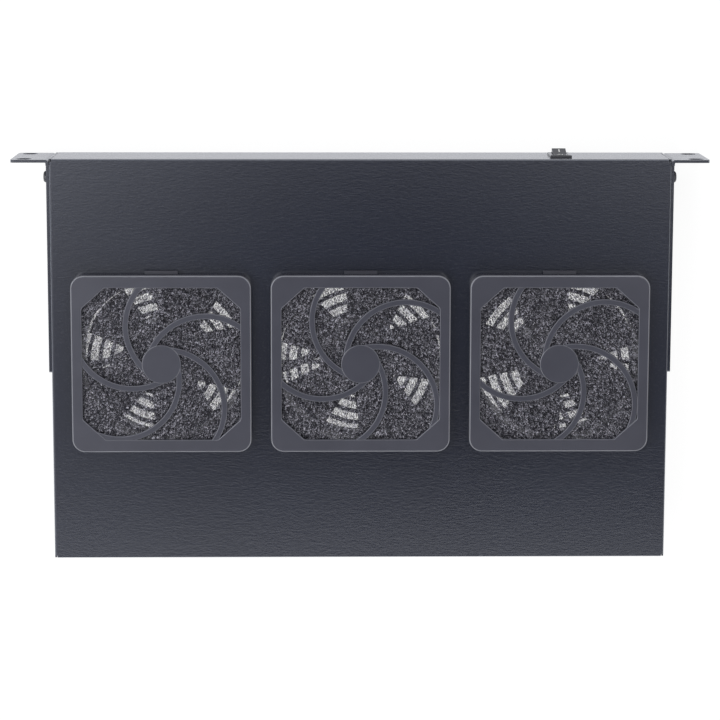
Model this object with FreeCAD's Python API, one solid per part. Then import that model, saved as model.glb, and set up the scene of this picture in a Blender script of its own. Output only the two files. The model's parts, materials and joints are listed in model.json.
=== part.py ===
# Rack fan tray, 19 inch, one unit high: three 120 mm fans hang under a bent steel tray, each
# behind a three-part filter guard (screwed base with a ring grille, foam pad, clipped cover).
# Frame: Z up out of the filter face, front panel towards -Y, X along the panel. The origin is the
# centre of the four rack slots, on the front plane of the ears. Millimetres.
import FreeCAD, Part
import math
import os

V = FreeCAD.Vector
os.makedirs("parts", exist_ok=True)

# ---------------------------------------------------------------- rack interface
EAR_SPAN = 482.6
EAR_REACH = 26.3
SLOT_INSET = 8.75
SLOT_SPACING_X = EAR_SPAN - 2 * SLOT_INSET
SLOT_SPACING_Z = 31.75
SLOT_LENGTH = 10.5
SLOT_WIDTH = 7.0
BRACKET_HEIGHT = 43.6
BRACKET_SHEET = 2.0
BRACKET_LENGTH = 150.0
BRACKET_BEND_R = 2.6
BRACKET_END_R = 5.0
FLANGE_DROP = 1.7
EAR_CORNER_R = 2.0

# ---------------------------------------------------------------- tray
BODY_WIDTH = EAR_SPAN - 2 * EAR_REACH
BODY_DEPTH = 282.6
BODY_HEIGHT = 43.0
SHEET = 1.2
BEND_INNER_R = 0.3
PANEL_PROUD = 0.4
RELIEF = 1.9
CORNER_SLIT = 0.4
LIP_WIDTH = 9.0

# ---------------------------------------------------------------- fans, three across the width
SIDE_MARGIN = 8.0
GUARD_SPACING = 13.5
GUARD_OVERHANG = 2.25
FAN_ROW_SHIFT = 0.2
FAN_HOLE_INSET = 7.5
DUCT_INSET = 2.5
BLADE_GAP = 1.7
FAN_PITCH = (BODY_WIDTH - 2 * SIDE_MARGIN) / 3
FAN_ROW_Y = BODY_DEPTH / 2 + FAN_ROW_SHIFT
GUARD_SIZE = FAN_PITCH - GUARD_SPACING
FAN_SIZE = GUARD_SIZE - 2 * GUARD_OVERHANG
FAN_DEPTH = 38.0
FAN_HOLE_SPACING = FAN_SIZE - 2 * FAN_HOLE_INSET
FAN_FLANGE = 4.6
FAN_FLANGE_CORNER_R = 3.5
DUCT_R = FAN_SIZE / 2 - DUCT_INSET
DUCT_WALL = 1.9
STRUT_COUNT = 4
STRUT_WIDTH = 5.0
STRUT_THICKNESS = 3.5
STRUT_SWEEP_DEG = 14.0
MOTOR_PLATE_R = 27.0
MOTOR_PLATE_THICKNESS = 3.0
ROTOR_TOP_GAP = 4.0
HUB_R = 26.0
HUB_HEIGHT = 29.0
HUB_WALL = 2.0
HUB_EDGE = 2.0
HUB_BOSS_R = 6.0
HUB_BOSS_HEIGHT = 4.0
BLADE_COUNT = 5
BLADE_TIP_R = DUCT_R - BLADE_GAP
BLADE_ROOT_SPAN = 27.0
BLADE_TIP_SPAN = 45.0
BLADE_ROOT_RISE = 24.0
BLADE_TIP_RISE = 17.0
BLADE_THICKNESS = 1.8
BLADE_CAMBER = 3.0
SHAFT_R = 2.5
SHAFT_SEAT = 3.0
BEARING_R = 6.5
TUBE_WALL = 2.0
TUBE_END_GAP = 0.4
STATOR_R = 21.0
STATOR_HEIGHT = 13.0
STATOR_BORE_GAP = 0.05
RUNNING_GAP = 0.05
TERMINAL_BLOCK = (9.0, 5.0, 12.0)
TERMINAL_INSET = 9.75
SPADE = (2.8, 0.6, 6.5)
SPADE_SPACING = 4.6

# Rest angle of a blade on each fan, anticlockwise from +X seen from above.
ROTOR_REST_DEG = {"right": 34.0, "centre": 41.6, "left": 68.6}

# ---------------------------------------------------------------- filter guards
GUARD_HEIGHT = 9.6
GUARD_CORNER_R = 9.0
GUARD_EDGE_R = 1.4
SKIRT_WALL = 1.4
SKIRT_LIFT = 0.2
COVER_TOP = 2.0
COVER_FIT = 0.2
FRAME_SIDE = 7.5
FRAME_END = 8.75
WINDOW_X = GUARD_SIZE - 2 * FRAME_SIDE
WINDOW_Y = GUARD_SIZE - 2 * FRAME_END
WINDOW_CUT_X = 16.0
WINDOW_CUT_Y = 14.5
COVER_ARMS = 5
ARM_WIDTH = 4.1
ARM_R = 41.5
ARM_CENTRE_R = 31.4
ARM_CENTRE_DEG = 111.7
ARM_DROP = 0.4
COVER_HUB_R = 13.6
COVER_HUB_DROP = 0.2
COVER_TURN_DEG = {"right": -90.0, "centre": 0.0, "left": 0.0}
BASE_FLOOR = 2.0
BASE_WALL = 1.5
GRILLE_RINGS = 4
GRILLE_PITCH = 7.9
GRILLE_INSET = 6.5
GRILLE_OUTER_R = DUCT_R - GRILLE_INSET
GRILLE_BAR = 2.6
GRILLE_HUB_R = 20.7
GRILLE_SPOKES = 4
LATCH_WIDTH = 23.0
LATCH_REACH = 2.3
LATCH_BOTTOM = 0.9
LATCH_TOP = 3.1
LATCH_PLAY = 0.5
FOAM_MARGIN = 1.2
FOAM_GAP = 0.2

# ---------------------------------------------------------------- fasteners
M4_R = 2.0
M4_HOLE_R = 2.2
M4_HEAD_R = 4.0
M4_HEAD = 2.4
M4_NUT_FLATS = 7.0
M4_NUT = 3.2
THREAD_GAP = 0.05
M4_END = 1.2
BRACKET_HEAD = 2.6
BRACKET_FRONT_Y = 12.8
BRACKET_REAR_INSET = 13.0
BRACKET_REAR_Y = BRACKET_LENGTH - BRACKET_REAR_INSET
BRACKET_SCREW_Z = 12.0
SINK_DEPTH = 1.9

# ---------------------------------------------------------------- switch
SWITCH_X = -139.5
BEZEL_X = 15.0
BEZEL_Z = 21.0
BEZEL_THICKNESS = 1.6
BEZEL_EDGE_R = 0.7
SWITCH_BODY_X = 12.8
SWITCH_BODY_Z = 18.8
SWITCH_BODY_DEPTH = 13.0
SWITCH_WALL = 1.4
PADDLE_X = 9.6
PADDLE_Z = 17.0
PADDLE_GAP = 0.35
PADDLE_TILT_DEG = 12.0
PADDLE_DEPTH = 2.5
PIVOT_DEPTH = 0.8
PIVOT_R = 1.5
SWITCH_SPADE = (4.8, 0.8, 8.0)
SWITCH_SPADE_Z = 5.5

# ---------------------------------------------------------------- mains inlet and earth stud
INLET_X = -139.5
INLET_FLANGE_X = 50.0
INLET_FLANGE_Z = 22.6
INLET_FLANGE = 2.0
INLET_FLANGE_R = 5.6
INLET_BODY_X = 27.2
INLET_BODY_Z = 19.8
INLET_BODY_DEPTH = 17.0
INLET_CAVITY_X = 24.0
INLET_CAVITY_Z = 16.6
INLET_CAVITY_DEPTH = 16.2
INLET_CUT = 5.0
INLET_HOLE_SPACING = 40.0
PIN = (2.0, 16.0, 4.0)
PIN_SPACING = 7.0
PIN_EARTH_RISE = 4.0
PIN_TAIL = 8.0
M3_R = 1.5
M3_HOLE_R = 1.7
M3_HEAD_R = 2.8
M3_HEAD = 1.7
M3_NUT_FLATS = 5.5
M3_NUT = 2.4
M3_END = 1.0
STUD_X = -95.0
STUD_INSET = 31.0
STUD_Y = BODY_DEPTH - STUD_INSET
STUD_LENGTH = 13.0
WALL_PLAY = 0.2

# ---------------------------------------------------------------- derived levels
PLATE_TOP = BODY_HEIGHT / 2
PLATE_UNDER = PLATE_TOP - SHEET
FAN_TOP = PLATE_UNDER
FAN_BOTTOM = FAN_TOP - FAN_DEPTH
FRONT_FACE = -PANEL_PROUD
REAR_FACE = BODY_DEPTH
BODY_SIDE = BODY_WIDTH / 2
HUB_TOP = FAN_TOP - ROTOR_TOP_GAP
HUB_LOW = HUB_TOP - HUB_HEIGHT
BOSS_LOW = HUB_TOP - HUB_WALL - HUB_BOSS_HEIGHT
MOTOR_PLATE_TOP = FAN_BOTTOM + MOTOR_PLATE_THICKNESS
TUBE_TOP = BOSS_LOW - TUBE_END_GAP
BASE_TOP = PLATE_TOP + BASE_FLOOR
COVER_TOP_Z = PLATE_TOP + GUARD_HEIGHT
COVER_UNDER = COVER_TOP_Z - COVER_TOP
FANS = {"right": FAN_PITCH, "centre": 0.0, "left": -FAN_PITCH}


# ---------------------------------------------------------------- helpers
def box(x0, x1, y0, y1, z0, z1):
    """Box between two corners."""
    return Part.makeBox(x1 - x0, y1 - y0, z1 - z0, V(x0, y0, z0))


def rod(radius, x, y, z0, z1):
    """Upright cylinder."""
    return Part.makeCylinder(radius, z1 - z0, V(x, y, z0), V(0, 0, 1))


def tube(outer, inner, x, y, z0, z1):
    """Upright ring."""
    return rod(outer, x, y, z0, z1).cut(rod(inner, x, y, z0, z1))


def prism(points, z0, z1):
    """Upright prism over a closed outline."""
    wire = Part.makePolygon([V(x, y, z0) for x, y in points + points[:1]])
    return Part.Face(wire).extrude(V(0, 0, z1 - z0))


def upright_edges(shape):
    """Straight edges that run along Z."""
    found = []
    for edge in shape.Edges:
        run = edge.Vertexes[-1].Point - edge.Vertexes[0].Point
        if abs(run.z) > 1e-6 and abs(run.x) + abs(run.y) < 1e-6:
            found.append(edge)
    return found


def edges_at(shape, level):
    """Edges that lie in one horizontal plane."""
    return [e for e in shape.Edges if all(abs(v.Point.z - level) < 1e-6 for v in e.Vertexes)]


def rounded_slab(size_x, size_y, radius, z0, z1):
    """Slab with rounded corners, centred on Z."""
    slab = box(-size_x / 2, size_x / 2, -size_y / 2, size_y / 2, z0, z1)
    return slab.makeFillet(radius, upright_edges(slab))


def around(shape, count, start=0.0):
    """Copies of a shape turned about Z."""
    copies = []
    for i in range(count):
        copy = shape.copy()
        copy.rotate(V(0, 0, 0), V(0, 0, 1), start + 360.0 * i / count)
        copies.append(copy)
    return copies


def moved(shape, x, y, z=0.0):
    """A copy carried to another place."""
    copy = shape.copy()
    copy.translate(V(x, y, z))
    return copy


def lay(shape, axis):
    """Turn an upright part so that its +Z points along axis."""
    copy = shape.copy()
    turn = FreeCAD.Rotation(V(0, 0, 1), axis)
    copy.Placement = FreeCAD.Placement(V(0, 0, 0), turn).multiply(copy.Placement)
    return copy


def hex_nut(flats, height, bore_r):
    """Nut that stands on Z = 0."""
    corner = flats / math.sqrt(3)
    outline = [(corner * math.cos(math.radians(60 * i)), corner * math.sin(math.radians(60 * i)))
               for i in range(6)]
    return prism(outline, 0, height).cut(rod(bore_r, 0, 0, 0, height))


def pan_screw(shank_r, head_r, head, length):
    """Pan-head screw: the head stands on Z = 0 and the shank points down."""
    return rod(head_r, 0, 0, 0, head).fuse(rod(shank_r, 0, 0, -length, 0))


def fan_holes():
    """Hole centres of one fan, measured from its axis."""
    half = FAN_HOLE_SPACING / 2
    return [(sx * half, sy * half) for sx in (-1, 1) for sy in (-1, 1)]


def save(name, shape):
    """Write one piece."""
    shape.exportStep("parts/%s.step" % name)
    print("%-24s solids %2d  valid %s" % (name, len(shape.Solids), shape.isValid()))


# ---------------------------------------------------------------- tray and brackets
def tray_shell():
    """Plate with four walls bent down, return lips below and open relief notches at the corners."""
    top, low = PLATE_TOP, -PLATE_TOP
    outer = box(-BODY_SIDE, BODY_SIDE, FRONT_FACE, REAR_FACE, low, top)
    outer = outer.makeFillet(SHEET + BEND_INNER_R, edges_at(outer, top))
    inner = box(-BODY_SIDE + SHEET, BODY_SIDE - SHEET, FRONT_FACE + SHEET, REAR_FACE - SHEET,
                low + SHEET, PLATE_UNDER)
    inner = inner.makeFillet(BEND_INNER_R, edges_at(inner, PLATE_UNDER))
    edge = SHEET + LIP_WIDTH
    mouth = box(-BODY_SIDE + edge, BODY_SIDE - edge, FRONT_FACE + edge, REAR_FACE - edge,
                low, low + SHEET)
    shell = outer.cut(inner).cut(mouth)
    for side in (-1, 1):
        for wall_y, inward in ((FRONT_FACE, 1), (REAR_FACE, -1)):
            x = sorted((side * BODY_SIDE, side * (BODY_SIDE - RELIEF)))
            y = sorted((wall_y, wall_y + inward * RELIEF))
            shell = shell.cut(box(x[0], x[1], y[0], y[1], top - RELIEF, top))
            x = sorted((side * (BODY_SIDE - SHEET), side * (BODY_SIDE - SHEET - CORNER_SLIT)))
            y = sorted((wall_y, wall_y + inward * edge))
            shell = shell.cut(box(x[0], x[1], y[0], y[1], low, top - RELIEF))
    for fan_x in FANS.values():
        shell = shell.cut(rod(DUCT_R, fan_x, FAN_ROW_Y, PLATE_UNDER, top))
        for x, y in fan_holes():
            shell = shell.cut(rod(M4_HOLE_R, fan_x + x, FAN_ROW_Y + y, PLATE_UNDER, top))
    play = WALL_PLAY
    shell = shell.cut(box(SWITCH_X - SWITCH_BODY_X / 2 - play, SWITCH_X + SWITCH_BODY_X / 2 + play,
                          FRONT_FACE, FRONT_FACE + SHEET,
                          -SWITCH_BODY_Z / 2 - play, SWITCH_BODY_Z / 2 + play))
    shell = shell.cut(box(INLET_X - INLET_BODY_X / 2 - play, INLET_X + INLET_BODY_X / 2 + play,
                          REAR_FACE - SHEET, REAR_FACE,
                          -INLET_BODY_Z / 2 - play, INLET_BODY_Z / 2 + play))
    for side in (-1, 1):
        x = INLET_X + side * INLET_HOLE_SPACING / 2
        shell = shell.cut(Part.makeCylinder(M3_HOLE_R, SHEET, V(x, REAR_FACE - SHEET, 0), V(0, 1, 0)))
        for y in (BRACKET_FRONT_Y, BRACKET_REAR_Y):
            for z in (-BRACKET_SCREW_Z, BRACKET_SCREW_Z):
                hole = Part.makeCylinder(M4_HOLE_R, SHEET, V(side * BODY_SIDE, y, z), V(-side, 0, 0))
                shell = shell.cut(hole)
    return shell.removeSplitter()


def sink(extra=0.0):
    """Countersunk head cone that points down, its face on Z = 0."""
    return Part.makeCone(M4_R + extra, M4_HEAD_R + extra, SINK_DEPTH, V(0, 0, -SINK_DEPTH))


def ear_bracket(side):
    """Bent bracket: a long flange, a little lower than the tray, and an ear with two rack slots."""
    half = BRACKET_HEIGHT / 2
    wall = box(BODY_SIDE, BODY_SIDE + BRACKET_SHEET, 0, BRACKET_LENGTH, -half, half)
    ear = box(BODY_SIDE, EAR_SPAN / 2, 0, BRACKET_SHEET, -half, half)
    piece = wall.fuse(ear).removeSplitter()
    bend = [e for e in upright_edges(piece)
            if abs(e.Vertexes[0].X - BODY_SIDE) < 1e-6 and abs(e.Vertexes[0].Y) < 1e-6]
    piece = piece.makeFillet(BRACKET_BEND_R, bend)
    inner = [e for e in upright_edges(piece)
             if abs(e.Vertexes[0].X - BODY_SIDE - BRACKET_SHEET) < 1e-6
             and abs(e.Vertexes[0].Y - BRACKET_SHEET) < 1e-6]
    piece = piece.makeFillet(BRACKET_BEND_R - BRACKET_SHEET, inner)
    ends = [e for e in piece.Edges if e.Length < BRACKET_SHEET + 1e-6
            and abs(abs(e.CenterOfMass.z) - half) < 1e-6]
    rear = [e for e in ends if abs(e.CenterOfMass.y - BRACKET_LENGTH) < 1e-6]
    piece = piece.makeFillet(BRACKET_END_R, rear)
    tips = [e for e in piece.Edges if abs(e.Length - BRACKET_SHEET) < 1e-6
            and abs(abs(e.CenterOfMass.z) - half) < 1e-6
            and abs(e.CenterOfMass.x - EAR_SPAN / 2) < 1e-6]
    piece = piece.makeFillet(EAR_CORNER_R, tips)
    for z in (-SLOT_SPACING_Z / 2, SLOT_SPACING_Z / 2):
        slot_x = SLOT_SPACING_X / 2
        run = (SLOT_LENGTH - SLOT_WIDTH) / 2
        cut = box(slot_x - run, slot_x + run, 0, BRACKET_SHEET, z - SLOT_WIDTH / 2, z + SLOT_WIDTH / 2)
        for x in (slot_x - run, slot_x + run):
            cut = cut.fuse(Part.makeCylinder(SLOT_WIDTH / 2, BRACKET_SHEET, V(x, 0, z), V(0, 1, 0)))
        piece = piece.cut(cut)
    for z in (-BRACKET_SCREW_Z, BRACKET_SCREW_Z):
        hole = lay(rod(M4_HOLE_R, 0, 0, -BRACKET_SHEET, 0), V(1, 0, 0))
        piece = piece.cut(moved(hole, BODY_SIDE + BRACKET_SHEET, BRACKET_FRONT_Y, z))
        cone = sink(THREAD_GAP).fuse(rod(M4_HOLE_R, 0, 0, -BRACKET_SHEET, 0))
        piece = piece.cut(moved(lay(cone, V(1, 0, 0)), BODY_SIDE + BRACKET_SHEET, BRACKET_REAR_Y, z))
    for low, high in ((half - FLANGE_DROP, half), (-half, FLANGE_DROP - half)):
        piece = piece.cut(box(BODY_SIDE, BODY_SIDE + BRACKET_SHEET, 2 * BRACKET_SHEET, BRACKET_LENGTH,
                              low, high))
    if side < 0:
        piece = piece.mirror(V(0, 0, 0), V(1, 0, 0))
    return piece


def bracket_screws(kind):
    """Screws that hold both brackets: pan heads at the front, flush heads at the rear."""
    grip = BRACKET_SHEET + SHEET + M4_NUT + M4_END
    if kind == "pan":
        screw, y = pan_screw(M4_R, M4_HEAD_R, BRACKET_HEAD, grip), BRACKET_FRONT_Y
    else:
        screw, y = sink().fuse(rod(M4_R, 0, 0, -grip, -SINK_DEPTH)), BRACKET_REAR_Y
    pieces = []
    for side in (-1, 1):
        turned = lay(screw, V(side, 0, 0))
        for z in (-BRACKET_SCREW_Z, BRACKET_SCREW_Z):
            pieces.append(moved(turned, side * (BODY_SIDE + BRACKET_SHEET), y, z))
    return Part.makeCompound(pieces)


def bracket_nuts():
    """Nuts inside the side walls."""
    nut = hex_nut(M4_NUT_FLATS, M4_NUT, M4_R + THREAD_GAP)
    pieces = []
    for side in (-1, 1):
        turned = lay(nut, V(-side, 0, 0))
        for y in (BRACKET_FRONT_Y, BRACKET_REAR_Y):
            for z in (-BRACKET_SCREW_Z, BRACKET_SCREW_Z):
                pieces.append(moved(turned, side * (BODY_SIDE - SHEET), y, z))
    return Part.makeCompound(pieces)


# ---------------------------------------------------------------- fan
def fan_frame():
    """Duct between two square flanges, swept struts and the motor plate with its bearing tube."""
    flange = rounded_slab(FAN_SIZE, FAN_SIZE, FAN_FLANGE_CORNER_R, 0, FAN_FLANGE)
    for x, y in fan_holes():
        flange = flange.cut(rod(M4_HOLE_R, x, y, 0, FAN_FLANGE))
    frame = rod(DUCT_R + DUCT_WALL, 0, 0, FAN_BOTTOM, FAN_TOP)
    frame = frame.fuse([moved(flange, 0, 0, FAN_BOTTOM), moved(flange, 0, 0, FAN_TOP - FAN_FLANGE)])
    frame = frame.cut(rod(DUCT_R, 0, 0, FAN_BOTTOM, FAN_TOP))
    reach = DUCT_R + DUCT_WALL / 2
    sweep = math.radians(STRUT_SWEEP_DEG)
    root = MOTOR_PLATE_R - STRUT_WIDTH / 2
    half = STRUT_WIDTH / 2
    tip_x, tip_y = reach * math.cos(sweep), reach * math.sin(sweep)
    strut = prism([(root, -half), (tip_x, tip_y - half), (tip_x, tip_y + half), (root, half)],
                  FAN_BOTTOM, FAN_BOTTOM + STRUT_THICKNESS)
    strut = strut.common(rod(reach, 0, 0, FAN_BOTTOM, FAN_TOP))
    plate = rod(MOTOR_PLATE_R, 0, 0, FAN_BOTTOM, MOTOR_PLATE_TOP)
    frame = frame.fuse(around(strut, STRUT_COUNT) + [plate])
    outer = BEARING_R + RUNNING_GAP + TUBE_WALL
    frame = frame.fuse(rod(outer, 0, 0, MOTOR_PLATE_TOP, TUBE_TOP))
    frame = frame.cut(rod(BEARING_R, 0, 0, MOTOR_PLATE_TOP, TUBE_TOP))
    return frame.removeSplitter()


def blade():
    """One twisted, cambered blade along +X, trimmed to the tip circle."""
    sections = []
    for x, span, rise in ((HUB_R - 2 * HUB_WALL, BLADE_ROOT_SPAN, BLADE_ROOT_RISE),
                          (BLADE_TIP_R + HUB_WALL, BLADE_TIP_SPAN, BLADE_TIP_RISE)):
        a, b = V(x, -span / 2, rise / 2), V(x, span / 2, -rise / 2)
        along = (b - a).normalize()
        normal = V(0, -along.z, along.y)
        middle = (a + b) * 0.5 + normal * BLADE_CAMBER
        half = normal * (BLADE_THICKNESS / 2)
        upper = Part.Arc(a + half, middle + half, b + half).toShape()
        lower = Part.Arc(b - half, middle - half, a - half).toShape()
        ends = [Part.makeLine(b + half, b - half), Part.makeLine(a - half, a + half)]
        sections.append(Part.Wire([upper, ends[0], lower, ends[1]]))
    body = Part.makeLoft(sections, True, True)
    trim = tube(BLADE_TIP_R, HUB_R - HUB_WALL / 2, 0, 0, -FAN_DEPTH, FAN_DEPTH)
    return body.common(trim)


def fan_rotor(rest_deg):
    """Cup-shaped hub with a boss for the shaft and five blades."""
    hub = rod(HUB_R, 0, 0, HUB_LOW, HUB_TOP)
    hub = hub.makeChamfer(HUB_EDGE, edges_at(hub, HUB_TOP))
    hub = hub.cut(rod(HUB_R - HUB_WALL, 0, 0, HUB_LOW, HUB_TOP - HUB_WALL))
    hub = hub.fuse(rod(HUB_BOSS_R, 0, 0, BOSS_LOW, HUB_TOP - HUB_WALL))
    hub = hub.cut(rod(SHAFT_R, 0, 0, BOSS_LOW, BOSS_LOW + SHAFT_SEAT))
    wing = moved(blade(), 0, 0, (HUB_TOP + HUB_LOW) / 2)
    return hub.fuse(around(wing, BLADE_COUNT, rest_deg)).removeSplitter()


def fan_shaft():
    """Steel shaft seated in the hub's boss and running in the sleeve."""
    return rod(SHAFT_R, 0, 0, MOTOR_PLATE_TOP + RUNNING_GAP, BOSS_LOW + SHAFT_SEAT)


def fan_bearing():
    """Sleeve bearing along the whole tube."""
    return tube(BEARING_R, SHAFT_R + RUNNING_GAP, 0, 0, MOTOR_PLATE_TOP, TUBE_TOP)


def fan_stator():
    """Wound stator, drawn as a closed ring round the bearing tube."""
    middle = (MOTOR_PLATE_TOP + TUBE_TOP) / 2
    low, high = middle - STATOR_HEIGHT / 2, middle + STATOR_HEIGHT / 2
    bore = BEARING_R + RUNNING_GAP + TUBE_WALL + STATOR_BORE_GAP
    return tube(STATOR_R, bore, 0, 0, low, high)


def terminal_place():
    """Corner of a fan, clear of its duct, where the terminals stand."""
    return FAN_SIZE / 2 - TERMINAL_INSET, -FAN_SIZE / 2 + TERMINAL_BLOCK[1] / 2


def terminal_blocks():
    """Insulating block on each fan's lower flange."""
    x, y = terminal_place()
    wide, deep, high = TERMINAL_BLOCK
    z0 = FAN_BOTTOM + FAN_FLANGE
    block = box(x - wide / 2, x + wide / 2, y - deep / 2, y + deep / 2, z0, z0 + high)
    return Part.makeCompound([moved(block, fan_x, FAN_ROW_Y) for fan_x in FANS.values()])


def fan_terminals():
    """Two push-on blades on each fan."""
    x, y = terminal_place()
    wide, thick, length = SPADE
    z = FAN_BOTTOM + FAN_FLANGE + TERMINAL_BLOCK[2] / 2
    face = y - TERMINAL_BLOCK[1] / 2
    pieces = []
    for fan_x in FANS.values():
        for side in (-1, 1):
            cx = fan_x + x + side * SPADE_SPACING / 2
            pieces.append(box(cx - thick / 2, cx + thick / 2, FAN_ROW_Y + face - length,
                              FAN_ROW_Y + face, z - wide / 2, z + wide / 2))
    return Part.makeCompound(pieces)


def fan_screws():
    """Twelve pan-head screws through base, plate and upper fan flange."""
    length = BASE_FLOOR + SHEET + FAN_FLANGE + M4_NUT + M4_END
    screw = pan_screw(M4_R, M4_HEAD_R, M4_HEAD, length)
    return Part.makeCompound([moved(screw, fan_x + x, FAN_ROW_Y + y, BASE_TOP)
                              for fan_x in FANS.values() for x, y in fan_holes()])


def fan_nuts():
    """Twelve nuts under the upper fan flanges."""
    nut = hex_nut(M4_NUT_FLATS, M4_NUT, M4_R + THREAD_GAP)
    level = FAN_TOP - FAN_FLANGE - M4_NUT
    return Part.makeCompound([moved(nut, fan_x + x, FAN_ROW_Y + y, level)
                              for fan_x in FANS.values() for x, y in fan_holes()])


# ---------------------------------------------------------------- filter guard
def window(grow=0.0):
    """Outline of the cover's opening: a rectangle with cut corners."""
    x, y = WINDOW_X / 2 + grow, WINDOW_Y / 2 + grow
    cut_x, cut_y = WINDOW_CUT_X, WINDOW_CUT_Y
    return [(x, y - cut_y), (x - cut_x, y), (-x + cut_x, y), (-x, y - cut_y),
            (-x, -y + cut_y), (-x + cut_x, -y), (x - cut_x, -y), (x, -y + cut_y)]


def filter_base():
    """Base under the foam: floor with a ring grille, a low wall and the latch."""
    side = GUARD_SIZE - 2 * (SKIRT_WALL + COVER_FIT)
    corner = GUARD_CORNER_R - SKIRT_WALL - COVER_FIT
    base = rounded_slab(side, side, corner, PLATE_TOP, COVER_UNDER)
    pocket = rounded_slab(side - 2 * BASE_WALL, side - 2 * BASE_WALL, corner - BASE_WALL,
                          BASE_TOP, COVER_UNDER)
    base = base.cut(pocket).cut(rod(DUCT_R, 0, 0, PLATE_TOP, BASE_TOP))
    half = GRILLE_BAR / 2
    bars = [rod(GRILLE_HUB_R, 0, 0, PLATE_TOP, BASE_TOP)]
    for i in range(GRILLE_RINGS):
        middle = GRILLE_OUTER_R - i * GRILLE_PITCH
        bars.append(tube(middle + half, middle - half, 0, 0, PLATE_TOP, BASE_TOP))
    spoke = box(GRILLE_HUB_R - half, DUCT_R + half, -half, half, PLATE_TOP, BASE_TOP)
    base = base.fuse(bars + around(spoke, GRILLE_SPOKES))
    for x, y in fan_holes():
        base = base.cut(rod(M4_HOLE_R, x, y, PLATE_TOP, BASE_TOP))
    reach = GUARD_SIZE / 2 + LATCH_REACH
    latch = box(-LATCH_WIDTH / 2, LATCH_WIDTH / 2, -reach, -side / 2 + BASE_WALL,
                PLATE_TOP + LATCH_BOTTOM, PLATE_TOP + LATCH_TOP)
    return base.fuse(latch).removeSplitter()


def foam_pad():
    """Reticulated foam pad between the grille and the cover."""
    return prism(window(FOAM_MARGIN), BASE_TOP + FOAM_GAP, COVER_UNDER - FOAM_GAP)


def cover_arm():
    """One spiral arm: half a ring whose circle passes through the hub."""
    angle = math.radians(ARM_CENTRE_DEG)
    x, y = ARM_CENTRE_R * math.cos(angle), ARM_CENTRE_R * math.sin(angle)
    top = COVER_TOP_Z - ARM_DROP
    ring = tube(ARM_R + ARM_WIDTH / 2, ARM_R - ARM_WIDTH / 2, x, y, COVER_UNDER, top)
    reach = ARM_R + ARM_CENTRE_R + ARM_WIDTH
    side = box(-reach, reach, 0, reach, COVER_UNDER, top)
    side.rotate(V(0, 0, 0), V(0, 0, 1), ARM_CENTRE_DEG)
    return ring.common(side)


def filter_cover(turn_deg):
    """Clipped cover: framed skirt, window, five spiral arms and a plain hub."""
    low = PLATE_TOP + SKIRT_LIFT
    cover = rounded_slab(GUARD_SIZE, GUARD_SIZE, GUARD_CORNER_R, low, COVER_TOP_Z)
    cover = cover.makeFillet(GUARD_EDGE_R, edges_at(cover, COVER_TOP_Z))
    inside = GUARD_SIZE - 2 * SKIRT_WALL
    cover = cover.cut(rounded_slab(inside, inside, GUARD_CORNER_R - SKIRT_WALL, low, COVER_UNDER))
    cover = cover.cut(prism(window(), COVER_UNDER, COVER_TOP_Z))
    half = LATCH_WIDTH / 2 + LATCH_PLAY
    cover = cover.cut(box(-half, half, -GUARD_SIZE / 2, -inside / 2, low,
                          PLATE_TOP + LATCH_TOP + LATCH_PLAY))
    clear = prism(window(), COVER_UNDER, COVER_TOP_Z)
    web = [arm.common(clear) for arm in around(cover_arm(), COVER_ARMS, turn_deg)]
    hub = rod(COVER_HUB_R, 0, 0, COVER_UNDER, COVER_TOP_Z - COVER_HUB_DROP)
    return cover.fuse(web + [hub]).removeSplitter()


# ---------------------------------------------------------------- switch
def switch_housing():
    """Bezel on the panel and a box behind it, open in front, with pivot holes in its cheeks."""
    front = FRONT_FACE
    back = front + SHEET + SWITCH_BODY_DEPTH
    bezel = box(-BEZEL_X / 2, BEZEL_X / 2, front - BEZEL_THICKNESS, front, -BEZEL_Z / 2, BEZEL_Z / 2)
    rim = [e for e in bezel.Edges if all(abs(v.Point.y - front + BEZEL_THICKNESS) < 1e-6
                                         for v in e.Vertexes)]
    bezel = bezel.makeFillet(BEZEL_EDGE_R, rim)
    body = box(-SWITCH_BODY_X / 2, SWITCH_BODY_X / 2, front, back, -SWITCH_BODY_Z / 2, SWITCH_BODY_Z / 2)
    well_x = PADDLE_X / 2 + PADDLE_GAP
    well_z = PADDLE_Z / 2 + PADDLE_GAP
    well = box(-well_x, well_x, front - BEZEL_THICKNESS, back - SWITCH_WALL, -well_z, well_z)
    pivot_y = front + PIVOT_DEPTH
    bore = Part.makeCylinder(PIVOT_R + RUNNING_GAP, SWITCH_BODY_X, V(-SWITCH_BODY_X / 2, pivot_y, 0),
                             V(1, 0, 0))
    return moved(bezel.fuse(body).cut(well).cut(bore).removeSplitter(), SWITCH_X, 0)


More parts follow.
